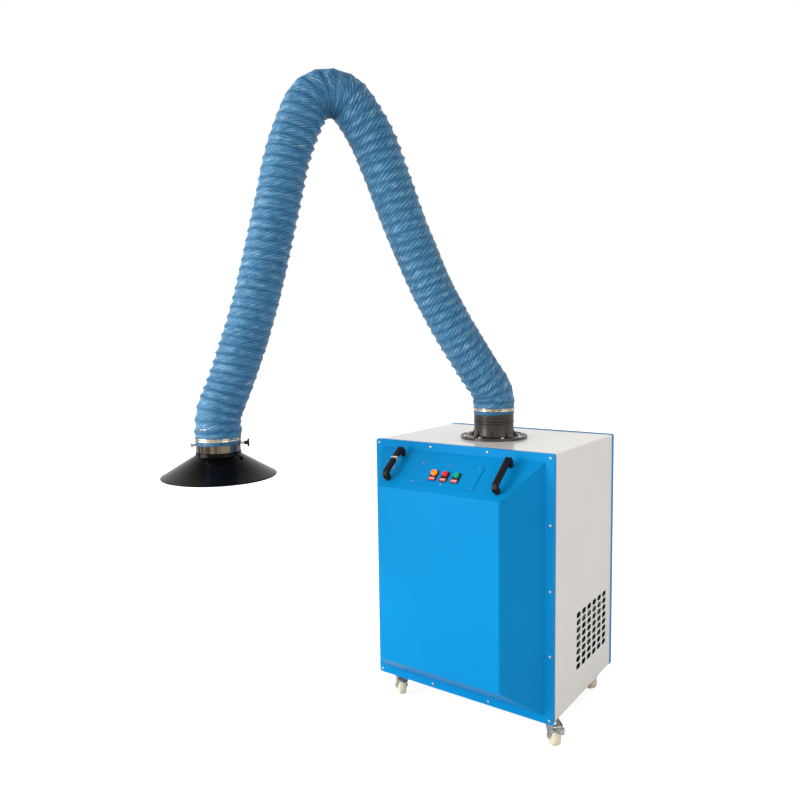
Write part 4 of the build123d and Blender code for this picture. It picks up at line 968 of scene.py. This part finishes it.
# %% Lamp, buttons, bezels and bare plates
control_lift = 1.5
button_pitch = 48.5
button_up = 92
plate_middle, plate_screw_across, plate_screw_up = 93, 124, 47
yoke_place = move(0, -13, 1.5)
legend_place = move(0, -26, 3.2)
button_places = [bevel @ move(side * button_pitch, button_up, control_lift) for side in (-1, 0, 1)]
bezel_outline = [
    (11.4, -22), (15, -22), (15, 0), (16.4, 0), (16.4, 2.2), (15.6, 3.5), (14, 4), (12.4, 4), (11.4, 3),
]
bezels = bmesh.new()
for place in button_places:
    join(bezels, turned(bezel_outline, 48), place)
    join(bezels, block(31, 34, 3.4, 1.2, 2), place @ yoke_place)
piece("button_rings", bezels, ["black_plastic"], "cabinet", ["button_bezels"])
button_outline = [
    (0, -16), (12.6, -16), (12.6, -14), (11, -14), (11, 10.6), (10.4, 12.2), (9, 13), (6.4, 12.8),
    (0, 12),
]
for word, colour, place in zip(("stop", "start"), ("red", "green"), button_places[1:]):
    button = word + "_button"
    piece(word + "_cap", turned(button_outline, 48), [colour + "_button"], button, [button], place)
lens_outline = [(0, -22), (11, -22), (11, 4), (12.4, 5), (12.8, 8), (12, 11.6), (9.6, 14.4), (5.6, 16)]
lens_outline += [(0, 16.6)]
piece("pilot_lens", turned(lens_outline, 24), ["lamp_lens"], "cabinet", ["indicator_lamp"], button_places[0])
legends = bmesh.new()
for place in [button_place @ legend_place for button_place in button_places]:
    join(legends, block(31, 18.6, 1.4, 0.5, 2), place @ move(z=0.6))
    join(legends, block(27, 14.2, 0.8, 0.3, 1), place @ move(z=1.3), 1)
    join(legends, block(21, 6.4, 0.6, 0.2, 1), place @ move(0, 1, 1.8), 2)
piece("bare_plates", legends, ["legend_face", "legend_red", "legend_pale"], "cabinet", ["legend_plates"])
control_screw_places = [
    bevel @ move(column * plate_screw_across, plate_middle + row * plate_screw_up, control_lift)
    for column in (-1, 0, 1)
    for row in (-1, 1)
]
screws("control_screws", 3.8, 2.1, control_screw_places, ())

# %% [markdown]
# ## Bow handles
# Each handle is a moulded bar on two round posts, which stand square on the slope. The bar is a flat outline
# pushed across and rounded along every edge. At its lower end the moulding is hollow, so that face is inset
# and pushed in. The left handle also carries a cable tie, a bevelled tube with a wall, and a small ring.


# %% Handles, cable tie and ring
bar_width = 20
post_places = (42, 170)


def bow_handle():
    """A handle in slope axes: x up the slope, y out of it and z across."""
    bar = [
        (33, 8), (50, 8), (54, 26), (158, 26), (162, 8), (179, 8), (182, 14), (182, 34), (174, 42),
        (45, 42), (31, 31), (31, 10),
    ]
    shape = plate(bar, bar_width, 2.6, 3)
    bmesh.ops.translate(shape, vec=(0, 0, -bar_width / 2), verts=shape.verts)
    bmesh.ops.recalc_face_normals(shape, faces=shape.faces)
    end = max((f for f in shape.faces if f.normal.x < -0.98), key=lambda f: f.calc_area())
    bmesh.ops.inset_region(shape, faces=[end], thickness=1.4, depth=0)
    bmesh.ops.inset_region(shape, faces=[end], thickness=0.4, depth=-9)
    post = [(0, 0), (10.6, 0), (10.6, 1.6), (9.6, 3), (9.6, 20), (0, 20)]
    for along in post_places:
        join(shape, turned(post, 32), move(along) @ turn(-90, "X"))
    return shape


handle_across = 235
slope_axes = upright((0, 1, 0), (1, 0, 0))
for side, side_name in ((-1, "left"), (1, "right")):
    handle_place = bevel @ move(side * handle_across) @ slope_axes
    handle_nodes = ["handle_" + side_name]
    piece("bow_" + side_name, bow_handle(), ["handle_black"], "cabinet", handle_nodes, handle_place)

tie = block(4.6, 18, 22)
bmesh.ops.delete(tie, geom=[f for f in tie.faces if abs(f.normal.x) > 0.9], context="FACES")
round_edges(tie, 3.4, 4)
bmesh.ops.recalc_face_normals(tie, faces=tie.faces)
bmesh.ops.solidify(tie, geom=tie.faces[:], thickness=-1.2)
join(tie, block(6, 5, 7, 0.8, 2), move(0, 10.5, 8))
join(tie, block(3.4, 1.2, 13, 0.4, 1), move(0, 12, 17) @ turn(20, "X"))
left_handle = bevel @ move(-handle_across) @ slope_axes
tie_place = left_handle @ move(118, 34)
piece("cable_tie", tie, ["white_nylon"], "cabinet", (), tie_place)
ring_turns = [radians(30 * step) for step in range(12)]
ring_radius, ring_wire = 8, 1.3
ring_outline = [(ring_radius + ring_wire * cos(a), ring_wire * sin(a)) for a in ring_turns]
ring_shape = turned(ring_outline, 40)
ring_place = left_handle @ move(84, 22, 6) @ turn(70, "Y") @ turn(20, "X")
piece("small_ring", ring_shape, ["bright_screws"], "cabinet", (), ring_place)

# %% [markdown]
# ## Casters
# Four swivel casters carry the cabinet. Each has a pressed fork under a ball race, a cream nylon wheel with
# dished sides, a bolt through the wheel with a nut at each end, and a brake pedal between the fork's ears.
# A caster is drawn about its swivel axis with the wheel trailing along x, then turned to where it stands.

# %% Casters
wheel_radius = 36
axle_height = floor_height + wheel_radius
wheel_trail = 34
fork_top = -7
leg_inner, leg_outer = 18, 21
foot_radius = 11.5
pedal_x, pedal_height = 67, -20
pedal_pivot = pedal_x - 6
tread_thickness = 3
caster_across, caster_front, caster_back = 346, 78, 522
caster_stands = {
    "front_right": (caster_across, caster_front, -45),
    "front_left": (-caster_across, caster_front, -43),
    "rear_right": (caster_across, caster_back, 140),
    "rear_left": (-caster_across, caster_back, 152),
}
side_on = turn(90, "X")


def caster_fork():
    """Head, ball race, two legs and the axle bolt with its nuts."""
    race = [(0, -10), (24, -10), (27, -9.4), (27.4, -8.4), (27, fork_top), (22, fork_top)]
    race += [(20, -6.9), (0, -6.9)]
    shape = turned(race, 48)
    leg = [(-13, -9.8), (-13, fork_top), (pedal_x, fork_top), (pedal_x, -27)]
    for a in [radians(step) for step in range(0, -181, -20)]:
        leg.append((wheel_trail + foot_radius * cos(a), axle_height + foot_radius * sin(a)))
    for low in (-leg_outer, leg_inner):
        join(shape, plate(leg, leg_outer - leg_inner, 0.9, 2), side_on @ move(z=low))
    join(shape, block(29, 2 * leg_outer - 1, 3, 0.8, 1), move(1.5, 0, fork_top - 1.5))
    axle = turned([(0, -27), (4.9, -27), (5.2, -26.4), (5.2, 26.4), (4.9, 27), (0, 27)], 20)
    join(shape, axle, move(wheel_trail, 0, axle_height) @ side_on)
    for side in (-1, 1):
        nut = turned([(5.1, 0), (8.8, 0), (9.2, 0.6), (9.2, 4.4), (8.4, 5), (5.1, 5)], 6)
        nut_turn = side_on if side < 0 else turn(-90, "X")
        join(shape, nut, move(wheel_trail, side * leg_outer, axle_height) @ nut_turn)
    return shape


def caster_wheel():
    """A solid wheel with dished sides and a shallow groove beside its tread."""
    half = [
        (5.2, 17.6), (12.4, 17.6), (13, 17), (14, 13.4), (17, 12), (23, 12), (26, 13.4), (27.4, 15.6),
        (30, 16), (32.6, 15), (34.6, 12.6), (35.2, 10.4), (34.7, 9.8), (35.3, 9.2), (35.9, 6), (36, 0),
    ]
    outline = half + [(radius, -height) for radius, height in reversed(half[:-1])]
    return turned(outline, 72)


def brake_pedal():
    """A pressed pedal: a tapered tread with a turned-down edge and a barrel on its pivot."""
    tread = [(pedal_pivot, -17), (69, -17), (69, -25), (74, -25.4), (110, -10), (113, -7)]
    tread += [(x, -y) for x, y in reversed(tread)]
    shape = plate(tread, tread_thickness, 0.8, 2)
    bmesh.ops.translate(shape, vec=(0, 0, pedal_height - tread_thickness / 2), verts=shape.verts)
    for step in range(3):
        join(shape, block(3, 26 - 5 * step, 1.6, 0.5, 1), move(80 + 9 * step, 0, pedal_height + 1.8))
    barrel = turned([(0, -17.6), (5.6, -17.6), (6, -17.2), (6, 17.2), (5.6, 17.6), (0, 17.6)], 24)
    pivot = move(pedal_pivot, 0, pedal_height) @ side_on
    join(shape, barrel, pivot)
    pin = turned([(0, -22), (3, -22), (3, 22), (0, 22)], 16)
    return join(shape, pin, pivot)


for corner, (across, back, heading) in caster_stands.items():
    stand = move(across, back, 0) @ turn(heading, "Z")
    wheel_place = stand @ move(wheel_trail, 0, axle_height) @ side_on
    for name, shape, coat, body, node, place in (
        ("fork_", caster_fork(), "caster_zinc", "caster_", "caster_fork_", stand),
        ("wheel_", caster_wheel(), "wheel_nylon", "wheel_", "caster_wheel_", wheel_place),
        ("pedal_", brake_pedal(), "caster_zinc", "brake_", "brake_pedal_", stand),
    ):
        piece(name + corner, shape, [coat], body + corner, [node + corner], place)

# %% [markdown]
# ## A pale room
# The picture is a studio shot on white. The floor is one big pale sheet. The world is a dome that is white
# near the horizon and dark overhead, as a studio is, so that gloss black stays black where it mirrors the
# ceiling and turns pale towards its edges. The light that it casts is a little weaker from the right. One
# broad soft lamp stands to the front left, and a faint one fills in from the right.

# %% Floor, world, lamps and camera
floor_coat = Finish("studio_floor", Base_Color=paint(244, 244, 244), Roughness=0.9, Specular_IOR_Level=0)
floor_glow = 0.7
floor_seen = floor_coat.node("ShaderNodeLightPath", output="Is Camera Ray")
floor_coat.set(Emission_Color=(1, 1, 1, 1), Emission_Strength=floor_seen * floor_glow)
floor_shape = bmesh.new()
bmesh.ops.create_grid(floor_shape, x_segments=1, y_segments=1, size=40)
link_piece("studio_floor", floor_shape, ["studio_floor"])

dome_level, dome_slant = 0.7, 0.26
ceiling_darkness = 0.93
world = bpy.data.worlds.new("studio")
scene.world = world
world.use_nodes = True
sky = Shading(world.node_tree)
direction = sky.node("ShaderNodeTexCoord", output="Generated")
ceiling = sky.node("ShaderNodeSeparateXYZ", output="Z", Vector=direction).between(0.45, 0.95)
sideways = sky.node("ShaderNodeSeparateXYZ", output="X", Vector=direction)
ray_kinds = ("Camera", "Glossy", "Transmission")
seen, mirrored, through = [sky.node("ShaderNodeLightPath", output=f"Is {kind} Ray") for kind in ray_kinds]
watched = seen.math("MAXIMUM", mirrored).math("MAXIMUM", through)
backdrop = (1 - ceiling * ceiling_darkness) * watched
daylight = (1 - watched) * (dome_level - sideways * dome_slant)
fill(sky.tree.nodes["Background"], {"Strength": backdrop + daylight, "Color": (1, 1, 1, 1)})


def soft_lamp(name, place, target, width, height, watts):
    """A rectangular lamp that looks at a point; places are in metres in the frame."""
    light = bpy.data.lights.new(name, "AREA")
    light.shape = "RECTANGLE"
    light.size, light.size_y = width, height
    light.energy = watts
    lamp_object = bpy.data.objects.new(name, light)
    scene.collection.objects.link(lamp_object)
    aim = Vector(target) - Vector(place)
    lamp_object.location = place
    lamp_object.rotation_mode = "QUATERNION"
    lamp_object.rotation_quaternion = aim.to_track_quat("-Z", "Y")


soft_lamp("front_left_softbox", (-2.2, -3.4, 1.9), (0.1, 0, 0.7), 2.4, 2.2, 120)
soft_lamp("right_fill", (4.0, -0.6, 2.2), (0.3, 0.2, 0.8), 2.0, 2.0, 14)

camera_place = home + Vector((1412.6, -2344.5, 1418.5)) * mm
camera_yaw, camera_pitch, camera_roll = 0.622, 0.092, -0.014
lens_in_pixels = 727.8
picture_width = 800
view_data = bpy.data.cameras.new("studio_camera")
view_data.lens = view_data.sensor_width * lens_in_pixels / picture_width
camera = bpy.data.objects.new("studio_camera", view_data)
scene.collection.objects.link(camera)
camera_turn = Matrix.Rotation(camera_yaw, 4, "Z") @ Matrix.Rotation(pi / 2 - camera_pitch, 4, "X")
camera_turn @= Matrix.Rotation(camera_roll, 4, "Z")
camera.matrix_world = Matrix.Translation(camera_place) @ camera_turn
scene.camera = camera
scene.view_settings.view_transform = "Standard"
